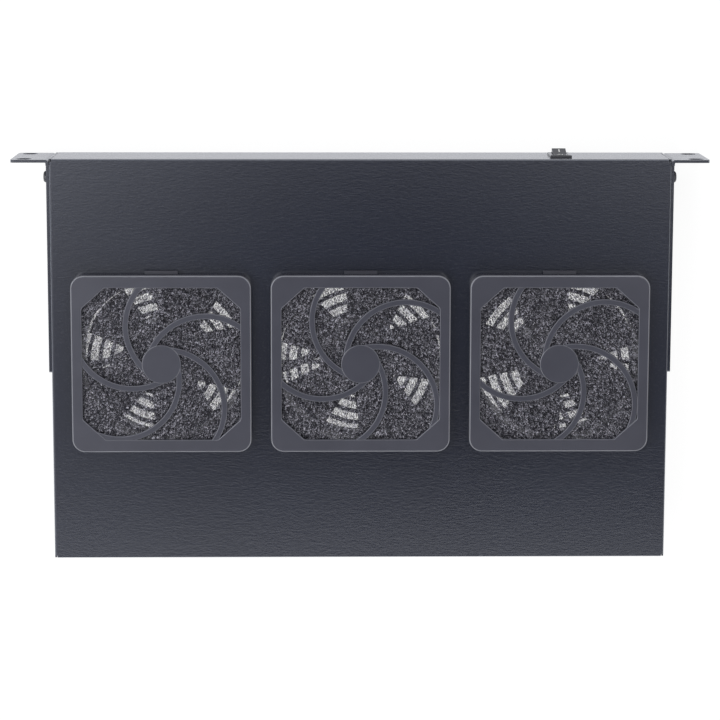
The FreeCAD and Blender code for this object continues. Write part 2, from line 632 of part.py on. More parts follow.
def switch_rocker():
    """Paddle with a shallow V face and round ends on a pivot pin, its upper half pressed."""
    crest = BEZEL_THICKNESS + PIVOT_DEPTH
    slope = math.tan(math.radians(PADDLE_TILT_DEG))
    round_r = PADDLE_Z / 2
    # The face meets the end's circle where z^2 + (crest + slope * z)^2 = round_r^2.
    a, b, c = 1 + slope ** 2, 2 * crest * slope, crest ** 2 - round_r ** 2
    tip_z = (-b + math.sqrt(b * b - 4 * a * c)) / (2 * a)
    tip_y = -crest - slope * tip_z
    foot_z = math.sqrt(round_r ** 2 - PADDLE_DEPTH ** 2)
    top, tips = V(0, -crest, 0), [V(0, tip_y, s * tip_z) for s in (1, -1)]
    feet = [V(0, PADDLE_DEPTH, s * foot_z) for s in (1, -1)]
    ends = [Part.Arc(tips[i], V(0, 0, s * round_r), feet[i]).toShape() for i, s in ((0, 1), (1, -1))]
    outline = Part.Wire(Part.sortEdges([Part.makeLine(top, tips[0]), ends[0],
                                        Part.makeLine(feet[0], feet[1]), ends[1],
                                        Part.makeLine(tips[1], top)])[0])
    paddle = Part.Face(outline).extrude(V(PADDLE_X, 0, 0))
    paddle.translate(V(-PADDLE_X / 2, 0, 0))
    pin = Part.makeCylinder(PIVOT_R, SWITCH_BODY_X, V(-SWITCH_BODY_X / 2, 0, 0), V(1, 0, 0))
    rocker = paddle.fuse(pin).removeSplitter()
    rocker.rotate(V(0, 0, 0), V(1, 0, 0), -PADDLE_TILT_DEG)
    return moved(rocker, SWITCH_X, FRONT_FACE + PIVOT_DEPTH)


def switch_terminals():
    """Push-on blades behind the switch."""
    wide, thick, length = SWITCH_SPADE
    back = FRONT_FACE + SHEET + SWITCH_BODY_DEPTH
    return Part.makeCompound([box(SWITCH_X - wide / 2, SWITCH_X + wide / 2, back, back + length,
                                  z - thick / 2, z + thick / 2)
                              for z in (-SWITCH_SPADE_Z, SWITCH_SPADE_Z)])


# ---------------------------------------------------------------- mains inlet
def inlet_outline(size_x, size_z, cut):
    """Appliance inlet section: a rectangle with its two upper corners cut."""
    x, z = size_x / 2, size_z / 2
    points = [(-x, -z), (x, -z), (x, z - cut), (x - cut, z), (-x + cut, z), (-x, z - cut), (-x, -z)]
    return Part.Face(Part.makePolygon([V(px, 0, pz) for px, pz in points]))


def inlet_body():
    """Flange outside the rear wall and a body inside it with the connector's cavity."""
    flange = box(-INLET_FLANGE_X / 2, INLET_FLANGE_X / 2, 0, INLET_FLANGE,
                 -INLET_FLANGE_Z / 2, INLET_FLANGE_Z / 2)
    tips = [e for e in flange.Edges if abs(e.Length - INLET_FLANGE) < 1e-6]
    flange = flange.makeFillet(INLET_FLANGE_R, tips)
    body = box(-INLET_BODY_X / 2, INLET_BODY_X / 2, -INLET_BODY_DEPTH, 0,
               -INLET_BODY_Z / 2, INLET_BODY_Z / 2)
    cavity = inlet_outline(INLET_CAVITY_X, INLET_CAVITY_Z, INLET_CUT)
    cavity.translate(V(0, INLET_FLANGE, 0))
    cavity = cavity.extrude(V(0, -INLET_CAVITY_DEPTH, 0))
    piece = flange.fuse(body).cut(cavity)
    for side in (-1, 1):
        hole = Part.makeCylinder(M3_HOLE_R, INLET_FLANGE, V(side * INLET_HOLE_SPACING / 2, 0, 0),
                                 V(0, 1, 0))
        piece = piece.cut(hole)
    for x, z in pin_places():
        wide, length, high = PIN
        slot = box(x - wide / 2, x + wide / 2, -INLET_BODY_DEPTH, 0, z - high / 2, z + high / 2)
        piece = piece.cut(slot)
    return moved(piece.removeSplitter(), INLET_X, REAR_FACE)


def pin_places():
    """Pin centres: line, neutral and the raised earth pin."""
    low = -PIN_EARTH_RISE / 2
    return [(-PIN_SPACING, low), (PIN_SPACING, low), (0, low + PIN_EARTH_RISE)]


def inlet_pins():
    """Three flat pins through the inlet's back wall, with tails for push-on connectors."""
    wide, length, high = PIN
    pins = [box(INLET_X + x - wide / 2, INLET_X + x + wide / 2,
                REAR_FACE - INLET_BODY_DEPTH - PIN_TAIL, REAR_FACE - INLET_BODY_DEPTH + length,
                z - high / 2, z + high / 2) for x, z in pin_places()]
    return Part.makeCompound(pins)


def inlet_screws():
    """Two M3 screws through flange and wall."""
    length = INLET_FLANGE + SHEET + M3_NUT + M3_END
    screw = lay(pan_screw(M3_R, M3_HEAD_R, M3_HEAD, length), V(0, 1, 0))
    return Part.makeCompound([moved(screw, INLET_X + side * INLET_HOLE_SPACING / 2,
                                    REAR_FACE + INLET_FLANGE) for side in (-1, 1)])


def inlet_nuts():
    """Two M3 nuts inside the rear wall."""
    nut = lay(hex_nut(M3_NUT_FLATS, M3_NUT, M3_R + THREAD_GAP), V(0, -1, 0))
    return Part.makeCompound([moved(nut, INLET_X + side * INLET_HOLE_SPACING / 2,
                                    REAR_FACE - SHEET) for side in (-1, 1)])


def earth_stud():
    """Stud welded under the plate."""
    return rod(M4_R, STUD_X, STUD_Y, PLATE_UNDER - STUD_LENGTH, PLATE_UNDER)


def earth_nut():
    """Nut on the stud, against the plate."""
    nut = hex_nut(M4_NUT_FLATS, M4_NUT, M4_R + THREAD_GAP)
    return moved(nut, STUD_X, STUD_Y, PLATE_UNDER - M4_NUT)


# ---------------------------------------------------------------- build
save("tray_shell", tray_shell())
for name, side in (("right", 1), ("left", -1)):
    save("ear_bracket_" + name, ear_bracket(side))
save("bracket_front_screws", bracket_screws("pan"))
save("bracket_rear_screws", bracket_screws("flush"))
save("bracket_nuts", bracket_nuts())
for name, fan_x in FANS.items():
    for piece, shape in (("fan_frame", fan_frame()),
                         ("fan_rotor", fan_rotor(ROTOR_REST_DEG[name])),
                         ("fan_shaft", fan_shaft()),
                         ("fan_bearing", fan_bearing()),
                         ("fan_stator", fan_stator()),
                         ("filter_base", filter_base()),
                         ("filter_foam", foam_pad()),
                         ("filter_cover", filter_cover(COVER_TURN_DEG[name]))):
        save("%s_%s" % (piece, name), moved(shape, fan_x, FAN_ROW_Y))
for name, make in (("fan_terminal_blocks", terminal_blocks), ("fan_terminals", fan_terminals),
                   ("fan_screws", fan_screws), ("fan_nuts", fan_nuts),
                   ("switch_housing", switch_housing), ("switch_rocker", switch_rocker),
                   ("switch_terminals", switch_terminals), ("inlet_body", inlet_body),
                   ("inlet_pins", inlet_pins), ("inlet_screws", inlet_screws),
                   ("inlet_nuts", inlet_nuts), ("earth_stud", earth_stud),
                   ("earth_nut", earth_nut)):
    save(name, make())
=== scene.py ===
# %% [markdown]
# # Dressing a rack fan tray
#
# The tray arrives as a finished mechanical model: every sheet, fan and screw already sits where
# it belongs. This lesson gives those parts their finishes, rebuilds the few whose small forms
# carry the look (the filter covers, the foam and the fasteners) and prints the signs on the
# rocker. A model that is measured first can be dressed without moving anything, so the work
# starts by reading sizes.

# %% Load the frame and measure it
import json
import math

import bmesh
import bpy
from mathutils import Matrix, Vector


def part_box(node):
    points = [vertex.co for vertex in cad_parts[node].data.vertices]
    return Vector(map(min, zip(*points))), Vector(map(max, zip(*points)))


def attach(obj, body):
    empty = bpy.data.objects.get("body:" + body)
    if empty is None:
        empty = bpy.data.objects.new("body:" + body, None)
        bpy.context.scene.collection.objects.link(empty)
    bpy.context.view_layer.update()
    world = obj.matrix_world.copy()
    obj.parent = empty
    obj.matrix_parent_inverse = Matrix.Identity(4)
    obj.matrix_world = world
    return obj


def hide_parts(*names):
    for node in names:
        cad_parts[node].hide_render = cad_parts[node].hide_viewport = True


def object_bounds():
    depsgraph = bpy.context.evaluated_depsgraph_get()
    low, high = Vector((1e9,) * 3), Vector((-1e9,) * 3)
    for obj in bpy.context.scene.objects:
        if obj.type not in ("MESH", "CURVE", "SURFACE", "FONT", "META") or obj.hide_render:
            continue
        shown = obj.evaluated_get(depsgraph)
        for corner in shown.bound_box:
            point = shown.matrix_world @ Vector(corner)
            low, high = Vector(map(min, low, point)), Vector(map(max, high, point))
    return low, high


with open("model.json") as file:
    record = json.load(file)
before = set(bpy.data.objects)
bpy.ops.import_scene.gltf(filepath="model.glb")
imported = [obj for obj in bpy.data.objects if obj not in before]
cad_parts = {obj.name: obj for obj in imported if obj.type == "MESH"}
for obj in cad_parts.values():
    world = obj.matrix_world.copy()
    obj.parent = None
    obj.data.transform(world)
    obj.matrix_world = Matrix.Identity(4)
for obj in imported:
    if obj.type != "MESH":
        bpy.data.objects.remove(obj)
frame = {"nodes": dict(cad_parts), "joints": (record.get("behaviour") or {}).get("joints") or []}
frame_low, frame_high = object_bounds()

nodes = frame["nodes"]
MM = 0.001
span = frame_high - frame_low
print("the tray measures", [round(v * 1000, 1) for v in span], "mm, and has", len(nodes), "parts")

# %% [markdown]
# ## The table and the studio
#
# A product lies on a white table that runs away to nothing. A single large sheet does that. It
# could be lit until it turns white, but then the dark tray would be over-lit too. Here the sheet
# glows a little by itself for what the camera or a shiny surface sees of it, and it still takes
# light and shadow like paper, so the tray keeps its soft shadow. Its back is clear, so the tray can
# be looked at from underneath as well.

# %% Helpers for node trees
def add_node(tree, kind, options=None, **sockets):
    """Add a shader node; options are its settings, sockets are values or other sockets."""
    node = tree.nodes.new(kind)
    for key, value in (options or {}).items():
        setattr(node, key, value)
    for key, value in sockets.items():
        socket = node.inputs[int(key[1:])] if key[0] == "i" and key[1:].isdigit() \
            else node.inputs[key.replace("_", " ")]
        if isinstance(value, bpy.types.NodeSocket):
            tree.links.new(value, socket)
        else:
            socket.default_value = value
    return node


def clear_tree(owner):
    """Give a material or world an empty node tree and its output node."""
    owner.use_nodes = True
    tree = owner.node_tree
    tree.nodes.clear()
    kind = "ShaderNodeOutputWorld" if isinstance(owner, bpy.types.World) \
        else "ShaderNodeOutputMaterial"
    return tree, tree.nodes.new(kind)


def compute(tree, operation, first, second):
    """The result of a maths node; first and second are numbers or sockets."""
    return add_node(tree, "ShaderNodeMath", {"operation": operation}, i0=first,
                    i1=second).outputs[0]


def tones(tree, factor, first, second):
    """A mix of two colours, each given as a tone or as a socket."""
    first, second = (c if isinstance(c, bpy.types.NodeSocket) else (*c, 1.0)
                     for c in (first, second))
    return add_node(tree, "ShaderNodeMix", {"data_type": "RGBA"}, Factor=factor, i6=first,
                    i7=second).outputs[2]


def seen_directly(tree):
    """Two masks: camera rays, and all rays from the camera, a shiny surface or through glass."""
    path = add_node(tree, "ShaderNodeLightPath").outputs
    shiny = compute(tree, "MAXIMUM", path["Is Camera Ray"], path["Is Glossy Ray"])
    return path["Is Camera Ray"], compute(tree, "MAXIMUM", shiny, path["Is Transmission Ray"])


print("node helpers ready")

# %% The white table
TABLE_REACH = 30.0
TABLE_GLOW = 0.90
WHITE = (1.0, 1.0, 1.0)
SHEEN_TINT = (0.93, 0.945, 1.0)
PAPER_FOR_LIGHT = (0.8, 0.8, 0.8)
PAPER_AS_SEEN = (0.2, 0.2, 0.2)

table_mesh = bpy.data.meshes.new("table_sheet")
sheet = bmesh.new()
bmesh.ops.create_grid(sheet, x_segments=8, y_segments=8, size=TABLE_REACH)
sheet.to_mesh(table_mesh)
sheet.free()
table = bpy.data.objects.new("table_sheet", table_mesh)
table.location.z = frame_low.z
bpy.context.scene.collection.objects.link(table)

table_paper = bpy.data.materials.new("table_paper")
tree, out = clear_tree(table_paper)
camera_ray, direct = seen_directly(tree)
paper = add_node(tree, "ShaderNodeBsdfDiffuse",
                 Color=tones(tree, direct, PAPER_FOR_LIGHT, PAPER_AS_SEEN))
glow = add_node(tree, "ShaderNodeEmission", Color=tones(tree, camera_ray, SHEEN_TINT, WHITE),
                Strength=compute(tree, "MULTIPLY", direct, TABLE_GLOW))
lit = add_node(tree, "ShaderNodeAddShader", i0=paper.outputs[0], i1=glow.outputs[0])
sides = add_node(tree, "ShaderNodeNewGeometry")
air = add_node(tree, "ShaderNodeBsdfTransparent")
one_way = add_node(tree, "ShaderNodeMixShader", i0=sides.outputs["Backfacing"],
                   i1=lit.outputs[0], i2=air.outputs[0])
tree.links.new(one_way.outputs[0], out.inputs["Surface"])
table_mesh.materials.append(table_paper)
print("table at", round(table.location.z * 1000, 1), "mm")

# %% [markdown]
# ## Light
#
# Dark paint shows its surroundings more than its own colour, so light and reflections are set
# apart here. The light comes from three soft boxes: a large one at the side, one behind and one in
# front. Shiny surfaces don't show the boxes. They show a room with white walls and a dim ceiling,
# and under that ceiling hang two round cards and two long banks. This way the sheen can be placed
# without over-lighting the tray. Together the light adds up to a plain level: a mid grey card on
# the table would look mid grey.

# %% The room
ROOM_WALL = 0.8
ROOM_CEILING = 0.04
ROOM_FILL = 0.29

world = bpy.data.worlds.new("studio_room")
bpy.context.scene.world = world
tree, out = clear_tree(world)
camera_ray, direct = seen_directly(tree)
sky = add_node(tree, "ShaderNodeTexCoord")
toward = add_node(tree, "ShaderNodeSeparateXYZ", Vector=sky.outputs["Generated"])
wall_to_ceiling = add_node(tree, "ShaderNodeMapRange", {"interpolation_type": "SMOOTHSTEP"},
                           Value=toward.outputs["Z"], From_Min=0.25, From_Max=0.75,
                           To_Min=ROOM_WALL, To_Max=ROOM_CEILING)
print("room light", ROOM_FILL)


# %% Reflectors that only shiny surfaces show
def reflector(tree, light, aim, reach, level):
    """Add a soft round card to what shiny surfaces see, in the direction of aim."""
    apart = add_node(tree, "ShaderNodeVectorMath", {"operation": "DISTANCE"},
                     i0=sky.outputs["Generated"], i1=Vector(aim).normalized())
    card = add_node(tree, "ShaderNodeMapRange", {"interpolation_type": "SMOOTHSTEP"},
                    Value=apart.outputs["Value"], From_Min=reach, From_Max=0.0,
                    To_Min=0.0, To_Max=level)
    return compute(tree, "ADD", light, card.outputs[0])


def bank(tree, light, start, full, end, gone, level):
    """Add a long card overhead: along Y it grows from start to full, then fades to gone."""
    grow, fade, overhead = (
        add_node(tree, "ShaderNodeMapRange", {"interpolation_type": "SMOOTHSTEP"},
                 Value=toward.outputs[axis], From_Min=low, From_Max=high, To_Max=top).outputs[0]
        for axis, low, high, top in (("Y", start, full, level), ("Y", gone, end, 1.0),
                                     ("Z", *BANK_RISES, 1.0)))
    card = compute(tree, "MULTIPLY", compute(tree, "MULTIPLY", grow, fade), overhead)
    return compute(tree, "ADD", light, card)


# Each card: where it hangs, how far it reaches and how bright it is.
CARDS = {
    "side card": ((0.39, -0.01, 0.92), 0.47, 4.6),
    "far side card": ((-0.29, -0.03, 0.96), 0.35, 1.9),
}
# Each bank: start, full, end and gone along Y, and how bright it is. It fades near the walls.
BANKS = {
    "near bank": (0.15, 0.05, 0.0, -0.25, 1.5),
    "rear bank": (0.26, 0.34, 0.40, 0.55, 3.2),
}
BANK_RISES = (0.35, 0.70)

shiny_light = wall_to_ceiling.outputs[0]
for card in CARDS.values():
    shiny_light = reflector(tree, shiny_light, *card)
for strip in BANKS.values():
    shiny_light = bank(tree, shiny_light, *strip)
shiny_level = add_node(tree, "ShaderNodeMix", Factor=camera_ray, i2=shiny_light, i3=1.0)
level = add_node(tree, "ShaderNodeMix", Factor=direct, i2=ROOM_FILL, i3=shiny_level.outputs[0])
tint = tones(tree, direct, WHITE, tones(tree, camera_ray, SHEEN_TINT, WHITE))
room = add_node(tree, "ShaderNodeBackground", Color=tint, Strength=level.outputs[0])
tree.links.new(room.outputs[0], out.inputs["Surface"])
print("overhead:", ", ".join([*CARDS, *BANKS]))


# %% The soft boxes
def soft_box(name, place, aim, size, watts, tint=WHITE):
    """A large rectangular lamp that faces a point."""
    lamp = bpy.data.lights.new(name, "AREA")
    lamp.shape = "RECTANGLE"
    lamp.size, lamp.size_y = size
    lamp.energy = watts
    lamp.color = tint
    holder = bpy.data.objects.new(name, lamp)
    holder.location = place
    holder.visible_glossy = False
    holder.rotation_mode = "QUATERNION"
    holder.rotation_quaternion = (Vector(aim) - Vector(place)).to_track_quat("-Z", "Y")
    bpy.context.scene.collection.objects.link(holder)
    return holder


tray_middle = (frame_low + frame_high) / 2
soft_box("side_box", (1.35, 0.05, 1.45), tray_middle, (1.3, 1.7), 16.0, (0.95, 0.97, 1.0))
soft_box("rear_box", (-0.1, 1.55, 1.35), tray_middle, (2.0, 1.1), 13.0)
soft_box("front_box", (-0.2, -1.75, 0.85), tray_middle, (2.0, 0.8), 14.0)
print("three soft boxes round", [round(v, 3) for v in tray_middle])

# %% [markdown]
# ## Camera
#
# The camera hangs high above the tray, a little before the front panel, and looks almost straight
# down, so the panel shows as a narrow band. A long lens keeps the sides nearly parallel. The
# camera is aimed just behind the panel, which alone would put the filters low in the frame.
# Shifting the lens brings the whole tray to the middle without moving the camera.

# %% Place the camera
CAMERA_PLACE = Vector((0.0235, -0.1633, 1.4309))
CAMERA_AIM = Vector((0.0006, 0.0140, 0.021))
CAMERA_ROLL = math.radians(0.133)
CAMERA_LENS = 102.94
CAMERA_SHIFT_UP = -0.25

lens = bpy.data.cameras.new("studio_camera")
lens.sensor_width = 36.0
lens.lens = CAMERA_LENS
lens.shift_y = CAMERA_SHIFT_UP
camera = bpy.data.objects.new("studio_camera", lens)
bpy.context.scene.collection.objects.link(camera)
bpy.context.scene.camera = camera
look = (CAMERA_AIM - CAMERA_PLACE).normalized()
front_is_up = Vector((math.sin(CAMERA_ROLL), -math.cos(CAMERA_ROLL), 0.0))
side = look.cross(front_is_up).normalized()
up = side.cross(look)
turn = Matrix((side, up, -look)).transposed().to_4x4()
camera.matrix_world = Matrix.Translation(CAMERA_PLACE) @ turn
bpy.context.scene.view_settings.view_transform = "Standard"
print("camera", round((CAMERA_AIM - CAMERA_PLACE).length, 3), "m from the plate")

# %% [markdown]
# ## Finishes
#
# Every finish starts from the same shader and gets three things that a bare colour lacks: a slow
# drift of tone, a grain that only the light shows, and edges that are a touch rounder than the
# drawing and, where a finish asks for it, paler. On the powder coat and the guard plastic that pale
# edge is a painted highlight. The rounding is done with the Bevel node, which turns the surface's
# direction near an edge without touching the mesh.

# %% A common base for the finishes
def start_finish(name, **sockets):
    """A new material with its main shader; returns material, tree and shader."""
    finish = bpy.data.materials.new(name)
    tree, out = clear_tree(finish)
    shader = add_node(tree, "ShaderNodeBsdfPrincipled", **sockets)
    tree.links.new(shader.outputs[0], out.inputs["Surface"])
    return finish, tree, shader


def grain(tree, size, stretch=(1, 1, 1), detail=3.0, rough=0.55, twist=0.0):
    """Noise whose lumps are about that many metres across; stretch lengthens them."""
    place = add_node(tree, "ShaderNodeTexCoord")
    fit = add_node(tree, "ShaderNodeMapping", Vector=place.outputs["Object"],
                   Scale=[1.0 / (size * s) for s in stretch])
    return add_node(tree, "ShaderNodeTexNoise", Vector=fit.outputs[0], Scale=1.0, Detail=detail,
                    Roughness=rough, Distortion=twist).outputs[0]


def spread(tree, value, low, high, start=0.3, end=0.7):
    """Map a noise value onto a range."""
    return add_node(tree, "ShaderNodeMapRange", Value=value, From_Min=start, From_Max=end,
                    To_Min=low, To_Max=high).outputs[0]


def edge_mask(tree, radius, strength=1.0):
    """How much an edge is rounded at this point, and the rounded normal."""
    soft = add_node(tree, "ShaderNodeBevel", {"samples": 6}, Radius=radius)
    flat = add_node(tree, "ShaderNodeNewGeometry")
    same = add_node(tree, "ShaderNodeVectorMath", {"operation": "DOT_PRODUCT"},
                    i0=soft.outputs[0], i1=flat.outputs["Normal"])
    mask = add_node(tree, "ShaderNodeMapRange", Value=same.outputs["Value"], From_Min=0.995,
                    From_Max=0.80, To_Min=0.0, To_Max=strength)
    return mask.outputs[0], soft.outputs[0]


def bend_highlight_mask(tree):
    """0 on flat sheet that lies along an axis, 1 in the middle of a bend."""
    place = add_node(tree, "ShaderNodeTexCoord")
    size = add_node(tree, "ShaderNodeVectorMath", {"operation": "ABSOLUTE"},
                    i0=place.outputs["Normal"])
    along = add_node(tree, "ShaderNodeSeparateXYZ", Vector=size.outputs[0]).outputs
    most = compute(tree, "MAXIMUM", compute(tree, "MAXIMUM", along["X"], along["Y"]), along["Z"])
    return add_node(tree, "ShaderNodeMapRange", Value=most, From_Min=0.97, From_Max=0.80,
                    To_Min=0.0, To_Max=1.0).outputs[0]


def relief(tree, height, depth, normal=None):
    """Bump from a height value, depth in metres."""
    bump = add_node(tree, "ShaderNodeBump", Height=height, Distance=depth, Strength=1.0)
    if normal is not None:
        tree.links.new(normal, bump.inputs["Normal"])
    return bump.outputs[0]


def wire(tree, value, shader, socket):
    """Join a value to one of the shader's sockets."""
    tree.links.new(value, shader.inputs[socket])


def dress(part, finish):
    """Give a part of the model one finish."""
    materials = nodes[part].data.materials
    materials.clear()
    materials.append(finish)


print("finish helpers ready")

# %% [markdown]
# ### Powder coat
#
# The tray and its brackets are powder coated in a blue-grey black. The powder flows into low
# wrinkles that lie along the sheet's rolling direction, so the noise is stretched along X. A pale
# line is painted along each fold and each sharp edge: a painted highlight where the bend catches
# the light.

# %% Powder coat
def powder_coat():
    """Blue-grey coat with long low wrinkles."""
    finish, tree, shader = start_finish("powder_coat", Specular_IOR_Level=0.02, Coat_Weight=0.95,
                                        Coat_Roughness=0.14)
    edge_amount, rounded = edge_mask(tree, 0.0005)
    drift = grain(tree, 0.09, (1.6, 1, 1), 2.0)
    tone = tones(tree, spread(tree, drift, 0.0, 1.0), (0.010, 0.012, 0.023), (0.013, 0.016, 0.029))
    speck = spread(tree, grain(tree, 0.0011, detail=1.0), 0.0, 0.5, 0.55, 0.8)
    tone = tones(tree, speck, tone, (0.030, 0.034, 0.048))
    # Painted highlight: a pale line on the sharp edges and along every bend of the sheet.
    tone = tones(tree, edge_amount, tone, (0.20, 0.21, 0.24))
    tone = tones(tree, bend_highlight_mask(tree), tone, (0.20, 0.21, 0.245))
    wire(tree, tone, shader, "Base Color")
    wrinkle = grain(tree, 0.0013, (3.2, 1, 1), 3.0, 0.6, 0.6)
    wire(tree, spread(tree, wrinkle, 0.34, 0.50), shader, "Roughness")
    wire(tree, relief(tree, wrinkle, 0.00016, rounded), shader, "Normal")
    wire(tree, relief(tree, wrinkle, 0.00004, rounded), shader, "Coat Normal")
    return finish


POWDER_COAT = powder_coat()
for name in ("tray_shell", "ear_bracket_right", "ear_bracket_left"):
    dress(name, POWDER_COAT)
print("coated the tray and both brackets")

# %% [markdown]
# ### Moulded guard plastic
#
# The filter guards are moulded in a charcoal plastic from an eroded steel tool, which leaves a
# fine even sparkle. The same plastic is made three more times in other tints: paler for the soft
# edges and palest for the outer rim, both painted highlights where the rounded edges catch the
# light, and a little darker for the grille that lies under the foam, painted shade.

# %% Guard plastic
# Dark and light drift at random; the third, paler tone is a painted highlight on rounded edges.
GUARD_TONES = ((0.055, 0.056, 0.073), (0.063, 0.064, 0.083), (0.10, 0.10, 0.115))


def guard_plastic(name, tint=WHITE):
    """Charcoal plastic with an eroded surface."""
    finish, tree, shader = start_finish(name, Specular_IOR_Level=0.05, Coat_Weight=0.9,
                                        Coat_Roughness=0.16)
    edge_amount, rounded = edge_mask(tree, 0.00025, 0.5)
    drift = spread(tree, grain(tree, 0.03, detail=2.0), 0.0, 1.0)
    dark, light, pale_highlight = (tuple(t * v for t, v in zip(tint, tone)) for tone in GUARD_TONES)
    # The rounded edges take the pale third tone, a painted highlight.
    tone = tones(tree, edge_amount, tones(tree, drift, dark, light), pale_highlight)
    wire(tree, tone, shader, "Base Color")
    spark = grain(tree, 0.00045, detail=2.0, rough=0.7)
    scuff = grain(tree, 0.004, (5, 1, 1), 4.0, 0.7, 1.0)
    wire(tree, spread(tree, scuff, 0.42, 0.56), shader, "Roughness")
    wire(tree, relief(tree, spark, 0.00006, rounded), shader, "Normal")
    wire(tree, rounded, shader, "Coat Normal")
    return finish


GUARD_PLASTIC = guard_plastic("guard_plastic")
# Paler copies for the rounded edges and the outer rim: painted highlights.
GUARD_EDGE_HIGHLIGHT = guard_plastic("guard_painted_edge_highlight", (2.3, 2.3, 2.1))
GUARD_RIM_HIGHLIGHT = guard_plastic("guard_painted_rim_highlight", (4.3, 4.3, 3.7))
# Darker copy for the grille under the foam: painted shade.
GRILLE_SHADED_PLASTIC = guard_plastic("grille_shaded_plastic", (0.85, 0.85, 0.85))
FANS = ("right", "centre", "left")
for name in FANS:
    dress("filter_base_" + name, GRILLE_SHADED_PLASTIC)
print("guard plastic ready")

# %% [markdown]
# ### Cast, moulded and metal parts
#
# The fan frames are die-cast and painted black, the rotors are glass-filled nylon, and the small
# hardware is zinc plated or blackened steel. They differ mostly in how rough they are and in the
# size of their grain, so one short recipe with different numbers serves them all.

# %% The recipe and its finishes
def plain_finish(name, first, second, rough, bump_size, bump_depth, metal=0.0, edge_tone=None,
                 stretch=(1, 1, 1)):
    """Two drifting tones, a grain, and lighter edges where they are given."""
    finish, tree, shader = start_finish(name, Metallic=metal)
    edge_amount, rounded = edge_mask(tree, 0.00025, 0.7)
    drift = spread(tree, grain(tree, 0.012, detail=4.0, rough=0.65), 0.0, 1.0)
    tone = tones(tree, drift, first, second)
    if edge_tone:
        tone = tones(tree, edge_amount, tone, edge_tone)
    wire(tree, tone, shader, "Base Color")
    lumps = grain(tree, bump_size, stretch, 3.0, 0.6)
    wire(tree, spread(tree, lumps, *rough), shader, "Roughness")
    wire(tree, relief(tree, lumps, bump_depth, rounded), shader, "Normal")
    return finish


FINISHES = {
    "fan_casting": plain_finish("fan_casting", (0.020, 0.020, 0.022), (0.030, 0.030, 0.033),
                                (0.45, 0.62), 0.0012, 0.00010, edge_tone=(0.12, 0.12, 0.13)),
    "rotor_nylon": plain_finish("rotor_nylon", (0.016, 0.016, 0.018), (0.024, 0.024, 0.026),
                                (0.36, 0.50), 0.0008, 0.00003, stretch=(1, 1, 6)),
    "zinc_steel": plain_finish("zinc_steel", (0.60, 0.61, 0.63), (0.70, 0.70, 0.69),
                               (0.24, 0.42), 0.0006, 0.00002, metal=1.0),
    "black_screw": plain_finish("black_screw", (0.070, 0.071, 0.080), (0.088, 0.089, 0.098),
                                (0.28, 0.45), 0.0005, 0.00002, edge_tone=(0.20, 0.20, 0.21)),
    "turned_steel": plain_finish("turned_steel", (0.52, 0.53, 0.55), (0.60, 0.60, 0.61),
                                 (0.18, 0.34), 0.0004, 0.00001, metal=1.0, stretch=(1, 1, 0.1)),
    "lamination": plain_finish("lamination", (0.22, 0.19, 0.17), (0.34, 0.30, 0.26),
                               (0.40, 0.60), 0.0007, 0.00005, metal=0.8, stretch=(8, 8, 1)),
    "insulator": plain_finish("insulator", (0.018, 0.018, 0.019), (0.026, 0.026, 0.028),
                              (0.34, 0.48), 0.0006, 0.00003, edge_tone=(0.07, 0.07, 0.075)),
    "switch_plastic": plain_finish("switch_plastic", (0.042, 0.043, 0.050), (0.054, 0.055, 0.063),
                                   (0.14, 0.24), 0.0005, 0.00001, edge_tone=(0.06, 0.06, 0.065)),
    "tinned_brass": plain_finish("tinned_brass", (0.66, 0.62, 0.52), (0.74, 0.71, 0.64),
                                 (0.22, 0.38), 0.0005, 0.00001, metal=1.0),
    "mark_paint": plain_finish("mark_paint", (0.72, 0.72, 0.70), (0.80, 0.80, 0.78),
                               (0.45, 0.60), 0.0004, 0.00001),
}
print(len(FINISHES), "finishes:", ", ".join(FINISHES))

# %% Which part gets which finish
WEARS = {
    "fan_casting": ["fan_frame_" + name for name in FANS],
    "rotor_nylon": ["fan_rotor_" + name for name in FANS],
    "turned_steel": [kind + name for kind in ("fan_shaft_", "fan_bearing_") for name in FANS],
    "lamination": ["fan_stator_" + name for name in FANS],
    "insulator": ["fan_terminal_blocks", "inlet_body"],
    "tinned_brass": ["fan_terminals", "switch_terminals", "inlet_pins"],
    "switch_plastic": ["switch_housing", "switch_rocker"],
    "zinc_steel": ["earth_stud"],
}
for finish_name, parts in WEARS.items():
    for part in parts:
        dress(part, FINISHES[finish_name])
print("dressed", sum(len(parts) for parts in WEARS.values()), "more parts")

# %% [markdown]
# ## Filter covers
#
# Each cover is a shallow tray turned upside down: a skirt that clips over the base, a flat frame
# round an eight-sided window, and five curved arms that meet in a hub. It could be cut from a
# block with booleans, but their edges come out sharp and their faces messy. A loft is cleaner:
# one closed line after another is carried round the same set of angles, from the foot of the
# skirt over the rounded shoulder to the window, so every edge gets its true radius.

# %% Closed outlines on a shared set of angles
def sharp_reach(angle, half_x, half_y):
    """Distance from the centre to a plain rectangle's edge, and the direction it is taken in."""
    dx, dy = abs(math.cos(angle)), abs(math.sin(angle))
    return min(half / d for half, d in ((half_x, dx), (half_y, dy)) if d > 1e-9), dx, dy


def rounded_reach(angle, half_x, half_y, radius):
    """The same for a rectangle with rounded corners."""
    reach, dx, dy = sharp_reach(angle, half_x, half_y)
    cx, cy = half_x - radius, half_y - radius
    if reach * dx > cx and reach * dy > cy:
        along = dx * cx + dy * cy
        across = along * along - (cx * cx + cy * cy - radius * radius)
        reach = along + math.sqrt(max(across, 0.0))
    return reach


def cut_corner_reach(angle, half_x, half_y, cut_x, cut_y):
    """The same for a rectangle with cut corners."""
    reach, dx, dy = sharp_reach(angle, half_x, half_y)
    # The cut joins (half_x, half_y - cut_y) and (half_x - cut_x, half_y).
    cut = (half_x / cut_x + half_y / cut_y - 1) / (dx / cut_x + dy / cut_y)
    return min(reach, cut)


